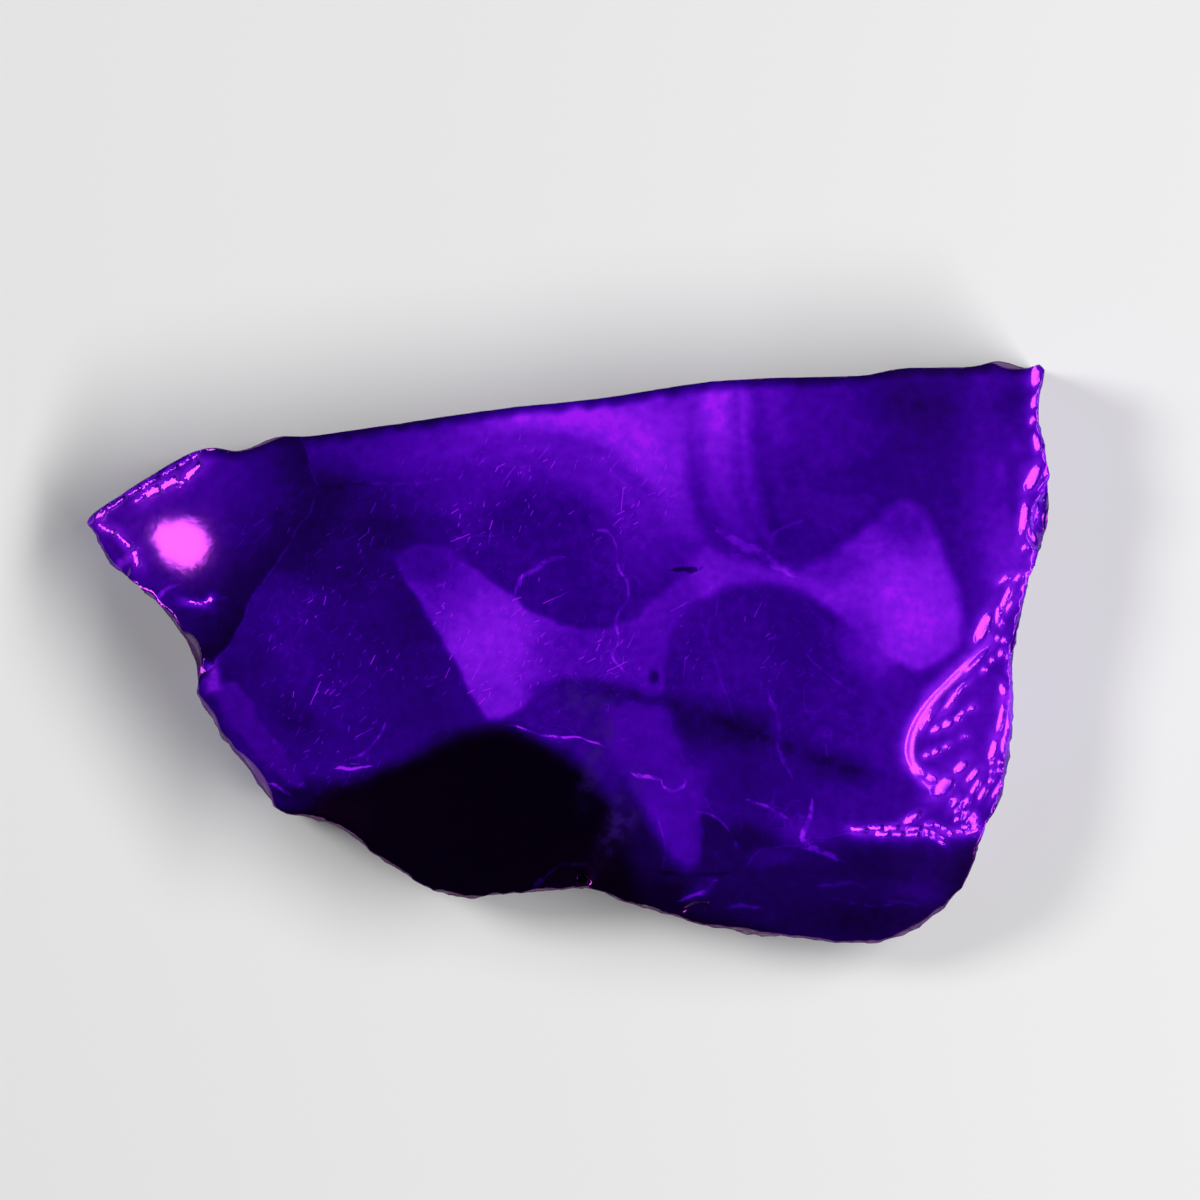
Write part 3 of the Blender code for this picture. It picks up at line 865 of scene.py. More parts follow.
# Soft ellipses laid one over another: middle, half sizes, turn in degrees, tone, strength
UNDER_SHADES = [
    ((470, 440), (110, 26), 8, 0.80, 0.8),
    ((360, 452), (60, 22), 8, 0.60, 0.9),
    ((346, 504), (60, 30), 0, 0.24, 0.95),
    ((318, 545), (50, 40), 60, 0.30, 0.8),
    ((350, 640), (120, 130), 0, 0.50, 0.95),
    ((420, 690), (34, 110), 25, 0.41, 0.7),
    ((404, 590), (22, 60), 25, 0.36, 0.8),
    ((560, 570), (90, 70), 0, 0.54, 0.95),
    ((830, 450), (110, 70), 0, 0.60, 0.9),
    ((930, 440), (60, 70), 0, 0.47, 0.8),
    ((1000, 440), (40, 90), 0, 0.64, 0.8),
    ((1000, 540), (34, 90), 0, 0.70, 0.8),
    ((760, 650), (110, 70), 0, 0.62, 0.9),
    ((812, 650), (40, 46), 0, 0.47, 0.7),
    ((900, 720), (60, 60), 0, 0.61, 0.9),
    ((968, 740), (46, 96), -8, 0.76, 0.95),
    ((1008, 566), (26, 46), 10, 0.84, 0.9),
    ((310, 530), (36, 60), -20, 0.26, 0.9),
    ((384, 545), (46, 26), 0, 0.36, 0.9),
    ((250, 670), (50, 24), 40, 0.40, 0.8),
    ((292, 716), (40, 20), -40, 0.38, 0.8),
    ((310, 792), (40, 14), 0, 0.26, 0.9),
    ((700, 420), (90, 40), 0, 0.88, 0.7),
    ((870, 373), (190, 7), 2, 0.40, 0.8),
    ((380, 424), (80, 8), 7, 0.42, 0.7),
    ((720, 730), (80, 26), -14, 0.30, 0.9),
    ((750, 780), (80, 34), -8, 0.46, 0.9),
    ((850, 800), (70, 34), 0, 0.58, 0.8),
    ((840, 768), (34, 14), -14, 0.34, 0.8),
    ((640, 850), (50, 60), 0, 0.20, 0.95),
    ((760, 865), (70, 26), 0, 0.33, 0.9),
    ((880, 865), (100, 26), 0, 0.31, 0.9),
    ((780, 905), (120, 30), 0, 0.30, 0.9),
    ((880, 925), (90, 26), 0, 0.20, 0.9),
    ((660, 905), (60, 30), 0, 0.13, 0.9),
    ((700, 925), (110, 14), -8, 0.12, 0.9),
    ((975, 880), (30, 50), -20, 0.22, 0.9),
    ((850, 700), (40, 50), 0, 0.60, 0.6),
    ((745, 838), (36, 16), 0, 0.24, 0.8),
]
FIELD_SHADES = [
    ((290, 625), (28, 50), 0, 0.62, 0.7),
    ((772, 858), (26, 10), 0, 0.50, 0.8),
    ((698, 892), (16, 9), 30, 0.48, 0.9),
    ((806, 832), (26, 14), 0, 0.68, 0.7),
    ((668, 620), (34, 24), 30, 0.70, 0.7),
    ((690, 800), (16, 34), -8, 0.72, 0.7),
    ((868, 652), (36, 22), -40, 0.86, 0.8),
    ((985, 383), (12, 16), 0, 0.66, 0.6),
    ((905, 402), (44, 24), -20, 0.38, 0.7),
    ((1012, 402), (16, 20), 0, 0.46, 0.6),
    ((1018, 447), (9, 8), 0, 0.76, 0.7),
    ((1001, 474), (5, 17), 10, 0.76, 0.6),
    ((1014, 490), (7, 24), 0, 0.50, 0.6),
    ((862, 474), (50, 16), 10, 0.46, 0.5),
    ((776, 736), (10, 20), 0, 0.60, 0.6),
    ((388, 534), (52, 24), -8, 0.36, 0.9),
    ((356, 560), (44, 34), 0, 0.34, 0.85),
    ((440, 528), (22, 14), 0, 0.47, 0.7),
    ((610, 690), (56, 18), -14, 0.42, 0.6),
]
OVER_SHADES = [
    ((490, 650), (56, 72), -28, 0.97, 0.85),
    ((506, 692), (40, 30), 0, 0.86, 0.7),
    ((418, 562), (32, 22), -20, 0.56, 0.85),
    ((600, 656), (66, 28), 0, 0.70, 0.8),
    ((576, 692), (44, 14), 0, 0.42, 0.8),
    ((612, 690), (60, 8), -4, 0.47, 0.7),
    ((655, 677), (5, 6), 0, 0.30, 0.9),
    ((905, 620), (54, 56), 0, 0.97, 0.8),
    ((905, 524), (30, 24), 0, 0.68, 0.8),
    ((826, 564), (34, 20), 0, 0.72, 0.8),
    ((858, 636), (24, 30), 0, 0.74, 0.7),
    ((644, 760), (40, 56), -14, 0.73, 0.6),
    ((690, 815), (26, 28), 0, 0.74, 0.6),
    ((690, 856), (26, 22), 0, 0.42, 0.7),
]

# The left lobe, to the left of the first crack: tone against distance from that crack, what is left
# of it lower down, and the corners that close it off outside the stone
LOBE_TONES = ((0, 12, 40, 70, 110, 170, 240), (0.29, 0.33, 0.48, 0.61, 0.70, 0.69, 0.66))
LOBE_LOW_TONES = ((540, 600, 660), (1.0, 0.80, 0.58))
LOBE_CORNERS = [(190, 700), (0, 700), (0, 400), (300, 400)]
LOBE_BORDER = 8.0

# Curved bands round the dark eye above the light arm: tone against distance from the eye's middle
EYE = (540, 560)
EYE_TONES = (
    (0, 60, 76, 92, 104, 112, 124, 133, 143, 155, 166, 176, 192, 230),
    (0.52, 0.54, 0.62, 0.74, 0.74, 0.80, 0.78, 0.90, 0.98, 1.0, 0.98, 0.93, 0.90, 0.84),
)
EYE_SIDE_TONES = ((0, 60, 84, 110, 150, 200), (0.52, 0.56, 0.68, 0.74, 0.78, 0.74))

# Where they show: directions in degrees over which the upper bands set in, how far to the left and
# up they weaken and by how much, and how they fade outward and downward
EYE_UPWARD = (8.0, 48.0)
EYE_LEFTWARD = (20.0, 100.0)
EYE_LEFT_HEIGHT = (0.0, 40.0)
EYE_LEFT_LOSS = 0.75
EYE_FADE = (205.0, 50.0)
EYE_LEVEL = (-30.0, 30.0)

# Upright bands that run down from the sawn edge: tone against place from left to right
UPRIGHT_TONES = (
    (676, 690, 699, 708, 716, 724, 730, 736, 742, 747, 753, 760, 774, 800),
    (0.90, 0.84, 0.88, 0.98, 1.0, 0.99, 0.92, 0.86, 0.94, 0.90, 0.78, 0.72, 0.80, 0.68),
)

# They slant a little, bend to the right below a height, fade downward, and end at both sides
UPRIGHT_SLANT = (400.0, 0.05)
UPRIGHT_BEND = (470.0, 260.0)
UPRIGHT_FADE = ((380, 430, 480, 540), (1.0, 0.95, 0.80, 0.70))
UPRIGHT_SIDES = ((676.0, 688.0), (770.0, 800.0))
UPRIGHT_END = (530.0, 560.0)

# The stone is darker along its outer line
EDGE_TONE = 0.2
EDGE_WIDTH = 0.9
EDGE_STRENGTH = 0.7

# Painted glow round the glints: the small glinting facets, the stone round them and lines along the glinting
# rims are painted lighter
PAINTED_GLOW_TONE = 1.0
PAINTED_GLOW_STRENGTH = 0.9
PAINTED_GLOW_REACH = 1.9
PAINTED_GLOW_LINES = [
    [(955, 672), (936, 689), (921, 710), (910, 732), (906, 750), (911, 766), (926, 783), (946, 792)],
    [(990, 640), (972, 657), (955, 674)],
    [(1004, 696), (999, 730), (993, 756)], [(1011, 692), (1008, 720), (1004, 748)],
    [(853, 831), (900, 832), (950, 832), (978, 829)],
]
PAINTED_GLOW_WIDTH = 8.0
PAINTED_GLOW_MARGIN = 2.5

# Crack lines and scratches, with some lines of painted glints and a band of painted shade: a line, its width
# and the tone that it adds
CRACKS_AND_PAINTED_LIGHT = [
    ([(300, 434), (307, 450), (313, 470), (318, 490), (310, 510), (300, 525), (285, 550), (272, 570),
      (262, 585), (250, 600), (243, 620), (238, 632), (225, 650), (215, 662)], 2.2, 0.16),
    ([(598, 530), (612, 536), (617, 556), (620, 570), (628, 584), (629, 598), (620, 608), (616, 622),
      (619, 640), (612, 655), (621, 668)], 2.6, 0.20),
    ([(516, 590), (522, 578), (532, 571), (544, 562), (560, 558)], 4.0, 0.22),
    # Painted shade: a soft dark band along the crease of the face
    ([(596, 690), (640, 697), (672, 703), (708, 716), (744, 731), (780, 744), (818, 757), (858, 772)],
     9.0, -0.07),
    ([(508, 726), (530, 731), (556, 736), (578, 738), (590, 742), (604, 746)], 2.2, 0.55),
    ([(806, 655), (830, 675), (858, 696)], 2.0, 0.12),
    ([(700, 622), (712, 650), (724, 690), (740, 730)], 1.8, 0.10),
    ([(770, 700), (778, 726), (780, 742)], 4.0, 0.16),
    ([(778, 742), (784, 764), (790, 776)], 3.0, 0.14),
    ([(825, 745), (826, 768)], 2.4, 0.16),
    ([(750, 801), (764, 806), (786, 818)], 3.0, 0.30),
    ([(802, 838), (808, 822), (812, 806)], 4.5, 0.30),
    ([(740, 868), (762, 852), (800, 843), (850, 834)], 2.0, 0.12),
    ([(702, 812), (716, 817), (730, 831), (739, 848)], 3.0, 0.22),
    ([(661, 872), (700, 876), (730, 872)], 3.0, -0.12),
    ([(658, 822), (664, 842), (662, 868)], 2.0, 0.12),
    ([(662, 700), (670, 722), (680, 752), (688, 784)], 1.6, 0.06),
    ([(340, 768), (352, 769), (366, 766)], 2.6, 0.45),
    ([(352, 758), (366, 752), (378, 738), (384, 726)], 2.6, 0.30),
    ([(636, 774), (644, 777), (656, 779)], 3.6, 0.40),
    ([(663, 786), (672, 791), (684, 785)], 3.0, 0.35),
    ([(456, 537), (480, 536), (498, 537)], 2.0, 0.12),
    ([(350, 482), (400, 484), (440, 481)], 3.0, 0.10),
    ([(320, 486), (345, 484), (372, 483)], 5.0, -0.12),
    ([(272, 784), (282, 788), (290, 793)], 3.0, 0.40),
    ([(718, 530), (740, 544), (762, 556), (792, 574)], 5.0, 0.14),
    ([(736, 556), (750, 562), (762, 562)], 3.0, 0.06),
    ([(760, 560), (768, 542), (780, 530), (800, 522)], 2.2, 0.10),
    ([(677, 570), (695, 570)], 4.0, -0.34),
    # Painted glints: faint lighter lines where the curved ripples at the lower right glint
    ([(820, 886), (846, 884), (866, 887)], 3.0, 0.16),
    ([(826, 896), (850, 902), (872, 908), (890, 906)], 2.6, 0.14),
    ([(890, 902), (906, 902), (918, 906)], 2.6, 0.12),
    # Painted glints: two short bright lines near the lower rim where small glints fall
    ([(684, 900), (698, 894), (714, 884)], 4.0, 0.35),
    ([(730, 908), (742, 906), (756, 907)], 4.0, 0.25),
    ([(808, 848), (818, 850), (838, 858)], 5.0, 0.30),
    ([(538, 888), (549, 873), (568, 863), (588, 866), (598, 884)], 3.0, 0.16),
    ([(536, 886), (542, 880)], 5.0, 0.26),
    ([(117, 567), (127, 558)], 9.0, 0.25),
    ([(168, 568), (173, 573), (179, 578)], 3.0, 0.25),
    # Painted glints: faint lighter marks where small facets near the left tip glint dimly
    ([(149, 600), (156, 598), (161, 594)], 4.0, 0.30), ([(165, 591), (173, 586)], 4.0, 0.22),
    ([(210, 600), (216, 601), (224, 599)], 3.0, 0.35),
    ([(745, 548), (760, 552), (778, 566)], 8.0, 0.16),
]
FAR_PIXELS = 12.0

# Where the short scratches, the net of veins and the mossy grey patch show: middle, half sizes, turn
SCRATCHED = [
    ((470, 600), (190, 110), -20), ((340, 720), (90, 80), 0), ((320, 600), (70, 120), 20),
    ((560, 500), (110, 60), 0), ((740, 660), (80, 60), 0),
]
VEINED = [
    ((770, 690), (110, 80), 0), ((620, 590), (40, 60), 0),
    ((300, 640), (70, 60), 0), ((600, 720), (60, 60), 0), ((760, 820), (90, 40), 0),
]
MOSSY = [((580, 700), (24, 18), 0), ((598, 748), (12, 46), -14), ((622, 816), (16, 40), -20)]

# The bands lean with depth in the lower part of the stone (pixels a millimetre), and wander by a few
# pixels in lumps of a size in millimetres
LEAN_START = 5.0
BAND_LEAN = (3.0, -2.0)
WANDER = 1.2
WANDER_SIZE = 1.6
WANDER_SEEDS = (21, 22)

# Heights in millimetres and upward slopes over which the polished front takes over from the walls
FRONT_HEIGHTS = (3.0, 5.0)
FRONT_SLOPES = (0.2, 0.4)

# The stone's colours on screen, from dark to bright tone
TONE_COLOURS = (
    (0.00, (1, 0, 6)), (0.15, (10, 0, 39)), (0.36, (27, 1, 91)), (0.53, (45, 0, 136)),
    (0.69, (72, 2, 176)), (0.82, (100, 10, 208)), (0.95, (134, 22, 241)), (1.0, (163, 26, 254)),
)
MOSSY_COLOUR = (52, 22, 126)
LIGHT_LEVEL = 1.17

# Tones between which clouds, scratches and veins set in, and how much the clouds change the tone.
# A kind of noise is the size of its lumps in millimetres and its detail. A range is the noise at
# which something starts and ends, and its strength there.
LIT_TONES = (0.02, 0.3)
CLOUDS = ((5.0, 3.0), (0.7, 5.0))
CLOUD_TONE = 0.2
MOSS = (0.9, 5.0)
MOSS_RANGE = (0.4, 0.62, 0.1, 0.6)

# Short scratches: direction and spread of directions, then the size of each kind's net of cells, its
# length and width, all in millimetres, and the clusters that they come in
SCRATCH_TURN = math.radians(52.0)
SCRATCH_SPREAD = 1.2
SCRATCH_KINDS = ((0.6, 0.22, 0.045), (1.0, 0.4, 0.045), (2.1, 0.9, 0.04))
SCRATCH_SHIFT = (7.3, 3.1)
SCRATCH_SHORTEST = 0.2
SCRATCH_CORE = 0.3
SCRATCH_RARITY = 3.0
CLUSTERS = (4.0, 2.0)
CLUSTER_RANGE = (0.42, 0.6, 0.1, 0.6)

# Veins: size and width of each kind, the size of their gaps beside their own, and their tone
VEIN_KINDS = ((2.4, 0.012), (5.0, 0.005))
VEIN_GAPS = 0.8
GAP_RANGE = (0.42, 0.6)
VEIN_TONE = 0.12

# Crack lines, and the lines of painted glints and painted shade, are ragged and of uneven strength, and end
# a little past their line's ends
LINE_MARK_RAG = (0.5, 3.0)
LINE_MARK_BORDER = (0.25, 0.85)
LINE_MARK_PATCHES = (0.8, 2.0)
LINE_MARK_STRENGTH = (0.38, 0.58, 0.3, 1.1)
LINE_MARK_REACH = 1.2

# Roughness of the polished face, of fresh breaks, which start at a pixel, and of the waxy walls
FACE_ROUGH = 0.08
BREAK_ROUGH = 0.16
WALL_ROUGH = 0.7
BREAK_START = 890
BREAK_BORDER = 10.0
ROUGH_PATCHES = (1.4, 4.0)
ROUGH_CHANGE = 0.06

# Unevenness too fine for the mesh: its waves and the walls' grain
LONG_WAVES = (2.5, 2.0)
SHORT_WAVES = (0.5, 4.0)
SHORT_SHARE = 0.3
WALL_GRAIN = (0.5, 5.0)
GRAIN_SHARE = 5.0
BUMP_HEIGHT = 0.02 * MM

# How the stone bends, tints and scatters light
AGATE_IOR = 1.54
AGATE_GLOSS = 1.0
GLINT_COLOUR = (0.85, 0.09, 1.0)
SCATTER_SHARE = 0.15
SCATTER_COLOUR = (1.0, 0.3, 1.6)
SCATTER_DEPTH = 0.5 * MM

# Faces that meet at more than this angle keep a sharp edge between them
SHARP_ANGLE = math.radians(40.0)

# Floor, dim even light, lamps and camera, in metres. A lamp has a direction, a lean away from
# straight up, two sizes and a power.
FLOOR_SIZE = 2.0
FLOOR_COLOUR = (0.72, 0.72, 0.72)
FLOOR_ROUGH = 0.9
FLOOR_GLOSS = 0.2
WORLD_COLOUR = (0.012, 0.012, 0.012)
LAMP_DISTANCE = 0.5
LAMPS = [(158.0, 42.0, (0.155, 0.165), 1.1), (-6.0, 42.0, (0.7, 0.15), 3.2)]
CAMERA_HEIGHT = 0.9
SENSOR_WIDTH = 36.0


def paint(tone, mask, value):
    """Lay a tone over another."""
    return tone + (value - tone) * mask


def region_mask(px, py, outline, border):
    """A soft-edged region inside a closed line."""
    line = smooth_line(outline + outline[:1], FIELD_STEP)
    return soft_mask(line_distance(px, py, line), border)


def lay_shades(tone, px, py, shades):
    """Lay soft ellipses over a tone."""
    for (x, y), half_sizes, turn, value, strength in shades:
        reach = reach_out(px, -py, (x, -y), half_sizes, turn, 2.0)
        tone = paint(tone, strength * np.exp(-(reach ** 3)), value)
    return tone


def eye_bands(px, py):
    """The curved bands above the light arm, and how strongly they show."""
    across = px - EYE[0]
    up = EYE[1] - py
    reach = np.hypot(across, up)
    upward = rise(np.degrees(np.arctan2(up, across)), *EYE_UPWARD)
    leftward = rise(-across, *EYE_LEFTWARD) * rise(up, *EYE_LEFT_HEIGHT)
    side = np.interp(reach, *EYE_SIDE_TONES)
    tone = side + (np.interp(reach, *EYE_TONES) - side) * upward * (1.0 - leftward)
    shown = soft_mask(reach - EYE_FADE[0], EYE_FADE[1]) * rise(up, *EYE_LEVEL)
    return tone, shown * (1.0 - EYE_LEFT_LOSS * leftward)


def upright_bands(px, py):
    """The bands that run down from the sawn edge and bend to the right, and how strongly they show."""
    low = np.maximum(0.0, py - UPRIGHT_BEND[0])
    place = px - low * low / UPRIGHT_BEND[1] - UPRIGHT_SLANT[1] * (py - UPRIGHT_SLANT[0])
    left, right = UPRIGHT_SIDES
    shown = rise(place, *left) * (1.0 - rise(place, *right)) * (1.0 - rise(py, *UPRIGHT_END))
    return np.interp(place, *UPRIGHT_TONES) * np.interp(py, *UPRIGHT_FADE), shown


def stone_tone(px, py):
    """The markings' tone at points, placed by the photograph's pixels, with the painted glow round the
    glints laid last.
    """
    tone = lay_shades(np.full(px.shape, GROUND_TONE), px, py, UNDER_SHADES)
    for bands, shown in (eye_bands(px, py), upright_bands(px, py)):
        tone = paint(tone, shown, bands)
    tone = lay_shades(tone, px, py, FIELD_SHADES)
    border, strength, share = LOWER_SHADE
    tone = paint(tone, strength * region_mask(px, py, LOWER_LOBE, border), tone * share)
    for outline, border, value, shaded in FIELDS:
        field = np.full(px.shape, value)
        if shaded:
            field = lay_shades(field, px, py, OVER_SHADES)
        tone = paint(tone, region_mask(px, py, outline, border), field)

    crack = smooth_line(CRACKS_AND_PAINTED_LIGHT[0][0], FIELD_STEP)
    to_crack = distance_to_line(px, py, crack)
    left = inside_line(px, py, np.concatenate([crack, LOBE_CORNERS]))
    lobe_tone = np.interp(to_crack, *LOBE_TONES) * np.interp(py, *LOBE_LOW_TONES)
    tone = paint(tone, soft_mask(np.where(left, -to_crack, to_crack), LOBE_BORDER), lobe_tone)
    inward = -distance_map.read(*place_mm(np.stack([px, py], axis=1)).T)
    tone = paint(tone, EDGE_STRENGTH * soft_mask(inward - EDGE_WIDTH / 2.0, EDGE_WIDTH), EDGE_TONE)
    # Painted glow: the stone round the glinting facets and along the glinting rims is painted lighter
    return paint(tone, PAINTED_GLOW_STRENGTH * painted_glow_share(px, py), PAINTED_GLOW_TONE)


def painted_glow_share(px, py):
    """Where the painted glow round the glints lies, on and round the small facets and along the glinting
    rims: 1 in their middles, 0 away from them.
    """
    x, y = place_mm(np.stack([px, py], axis=1)).T
    share = np.zeros(px.shape)
    for pixels, half_pixels, turn, lean in all_facets():
        place = place_mm(pixels)
        half = np.array(half_pixels) / PIXELS_PER_MM
        near = near_place(x, y, place, PAINTED_GLOW_MARGIN * PAINTED_GLOW_REACH * max(half))
        reach = reach_out(x[near], y[near], place, half, turn, lean[3])
        share[near] = np.maximum(share[near], np.exp(-(reach / PAINTED_GLOW_REACH) ** 2))
    for line in PAINTED_GLOW_LINES:
        to_line = distance_to_line(px, py, smooth_line(line, FIELD_STEP))
        share = np.maximum(share, np.exp(-(to_line / PAINTED_GLOW_WIDTH) ** 2))
    return share


def nearest_line_mark(px, py):
    """How far the nearest crack, scratch, painted glint or painted shade line is, on which side of it, and
    the tone that it adds.
    """
    nearest = np.full(px.shape, FAR_PIXELS)
    side = np.full(px.shape, FAR_PIXELS)
    value = np.zeros(px.shape)
    for line, width, added in CRACKS_AND_PAINTED_LIGHT:
        points = smooth_line(line, LINE_MARK_STEP)
        close = np.flatnonzero(near_line(px, py, points, FAR_PIXELS))
        for start, end in zip(points[:-1], points[1:]):
            along = end - start
            length = math.hypot(*along)
            x, y = px[close] - start[0], py[close] - start[1]
            place = np.clip((x * along[0] + y * along[1]) / length ** 2, 0.0, 1.0)
            distance = np.hypot(x - place * along[0], y - place * along[1]) / width
            better = distance < nearest[close]
            chosen = close[better]
            across = (x * along[1] - y * along[0])[better]
            nearest[chosen] = distance[better]
            side[chosen] = np.where(across < 0.0, -1.0, 1.0) * distance[better]
            value[chosen] = added
    return nearest, side, value


def photo_places(points):
    """Where points of the stone lie in the photograph. Low down, its bands lean with the depth."""
    x, y, z = points.T
    depth = np.maximum(0.0, LEAN_START - z)
    wander = [WANDER * wave_noise(x, y, z, WANDER_SIZE, seed) for seed in WANDER_SEEDS]
    px = ORIGIN_PIXEL[0] + PIXELS_PER_MM * x + BAND_LEAN[0] * depth + wander[0]
    py = ORIGIN_PIXEL[1] - PIXELS_PER_MM * y + BAND_LEAN[1] * depth + wander[1]
    return px, py


def add_values(data, name, values):
    """Keep a number for each of a mesh's points."""
    attribute = data.attributes.new(name, "FLOAT", "POINT")
    attribute.data.foreach_set("value", np.asarray(values, dtype=np.float32))


def point_vectors(data, name):
    """A vector of each of a mesh's points: its place, or its normal."""
    vectors = np.empty(3 * len(data.vertices), dtype=np.float32)
    data.vertices.foreach_get(name, vectors)
    return vectors.reshape(-1, 3)


def mark_stone(data):
    """Give every point of the stone its markings."""
    points = point_vectors(data, "co").astype(float) / MM
    px, py = photo_places(points)
    upward = point_vectors(data, "normal")[:, 2]
    front = np.minimum(rise(points[:, 2], *FRONT_HEIGHTS), rise(upward, *FRONT_SLOPES))
    near, side, added = nearest_line_mark(px, py)
    marks = {
        "tone": stone_tone(px, py),
        "line_mark_near": near,
        "line_mark_side": side,
        "crack_and_painted_light_tone": added,
        "scratched": front * spots(px, py, SCRATCHED),
        "veined": spots(px, py, VEINED),
        "mossy": front * spots(px, py, MOSSY),
        "rough": roughness(px, py, front),
    }
    for name, values in marks.items():
        add_values(data, name, values)


def roughness(px, py, front):
    """How rough the stone is: polished face, fresh shell-shaped breaks, and waxy walls."""
    breaks = soft_mask(BREAK_START - px, BREAK_BORDER)
    rough = paint(np.full(px.shape, FACE_ROUGH), breaks, BREAK_ROUGH)
    return paint(rough, 1.0 - front, WALL_ROUGH)


def spots(px, py, ellipses):
    """Where soft ellipses lie: 1 in them, 0 away from them."""
    shades = [(*ellipse, 1.0, 1.0) for ellipse in ellipses]
    return lay_shades(np.zeros(px.shape), px, py, shades)


def make_mesh(name, verts, faces):
    """A mesh from points and quads, in the units of the points."""
    data = bpy.data.meshes.new(name)
    data.from_pydata(verts, [], faces)
    data.update()
    return data


def thin_mesh(data, verts, limit):
    """Merge small triangles of the walls and back, in millimetres, down to a number of them."""
    item = bpy.data.objects.new("thinning", data)
    bpy.context.scene.collection.objects.link(item)
    kept = point_vectors(data, "normal")[:, 2] > KEPT_SLOPE
    from_grid = np.abs(verts[:, :2] / KEPT_SPACING % 1.0 - 0.5) * KEPT_SPACING
    on_back = verts[:, 2] < 0.5 * GRID_STEP
    kept |= on_back & (from_grid < 0.5 * GRID_STEP).all(axis=1)
    group = item.vertex_groups.new(name="thinned")
    group.add(np.flatnonzero(~kept).tolist(), 1.0, "REPLACE")
    thinning = item.modifiers.new("thinning", "DECIMATE")
    thinning.ratio = min(1.0, limit / (2.0 * len(data.polygons)))
    thinning.vertex_group = group.name
    evaluated = item.evaluated_get(bpy.context.evaluated_depsgraph_get())
    thinned = bpy.data.meshes.new_from_object(evaluated)
    bpy.data.objects.remove(item)
    bpy.data.meshes.remove(data)
    return thinned


def is_fold(edge):
    """Whether the two faces at an edge fold back on one another."""
    faces = edge.link_faces
    return len(faces) == 2 and faces[0].normal.dot(faces[1].normal) < FOLD_LIMIT


def relax_folds(data):
    """Smooth the few places where the thinned surface folds back over itself."""
    mesh = bmesh.new()
    mesh.from_mesh(data)
    for _ in range(FOLD_PASSES):
        mesh.normal_update()
        folded = [vert for vert in mesh.verts if any(is_fold(edge) for edge in vert.link_edges)]
        bmesh.ops.smooth_vert(
            mesh, verts=folded, factor=FOLD_SMOOTHING, use_axis_x=True, use_axis_y=True, use_axis_z=True
        )
    mesh.to_mesh(data)
    mesh.free()


def set_points(data, points):
    """Move a mesh's points."""
    data.vertices.foreach_set("co", points.astype(np.float32).ravel())
    data.update()


class MaterialMaker:
    """Adds shader nodes to a material and joins them. Lengths in its textures are millimetres."""

    def __init__(self, name):
        self.material = bpy.data.materials.new(name)
        self.material.use_nodes = True
        self.tree = self.material.node_tree
        self.principled = self.tree.nodes["Principled BSDF"]
        coordinates = self.node("ShaderNodeTexCoord").outputs["Object"]
        self.place = self.vector("SCALE", coordinates, Scale=1.0 / MM)

    def node(self, kind, settings=None, **inputs):
        """A node with its settings and inputs, which are numbers or other nodes' outputs."""
        node = self.tree.nodes.new(kind)
        for name, value in (settings or {}).items():
            setattr(node, name, value)
        for name, value in inputs.items():
            self.feed(node.inputs[name.replace("_", " ")], value)
        return node

    def feed(self, socket, value):
        """Set a socket to a number, or join it to an output."""
        if isinstance(value, bpy.types.NodeSocket):
            self.tree.links.new(value, socket)
        else:
            socket.default_value = value

    def combined(self, kind, operation, values, **inputs):
        """The result of an operation on several values in order."""
        node = self.node(kind, {"operation": operation}, **inputs)
        for socket, value in zip(node.inputs, values):
            self.feed(socket, value)
        return node.outputs[0]

    def math(self, operation, *values):
        """Arithmetic on numbers."""
        return self.combined("ShaderNodeMath", operation, values)

    def vector(self, operation, *values, **inputs):
        """Arithmetic on vectors."""
        return self.combined("ShaderNodeVectorMath", operation, values, **inputs)

    def attribute(self, name):
        """A number kept for each of the mesh's points."""
        node = self.node("ShaderNodeAttribute", {"attribute_name": name})
        return node.outputs["Fac"]

    def ramp(self, value, low, high, at_low=0.0, at_high=1.0):
        """Change a number from one range to another, smoothly and held at the ends."""
        settings = {"interpolation_type": "SMOOTHSTEP"}
        node = self.node("ShaderNodeMapRange", settings, Value=value)
        for name, number in (("From Min", low), ("From Max", high), ("To Min", at_low), ("To Max", at_high)):
            node.inputs[name].default_value = number
        return node.outputs["Result"]

    def noise(self, size, detail):
        """Noise with lumps of about a size, mostly between 0.3 and 0.7."""
        node = self.node("ShaderNodeTexNoise", Vector=self.place, Scale=1.0 / size, Detail=detail)
        return node.outputs["Fac"]


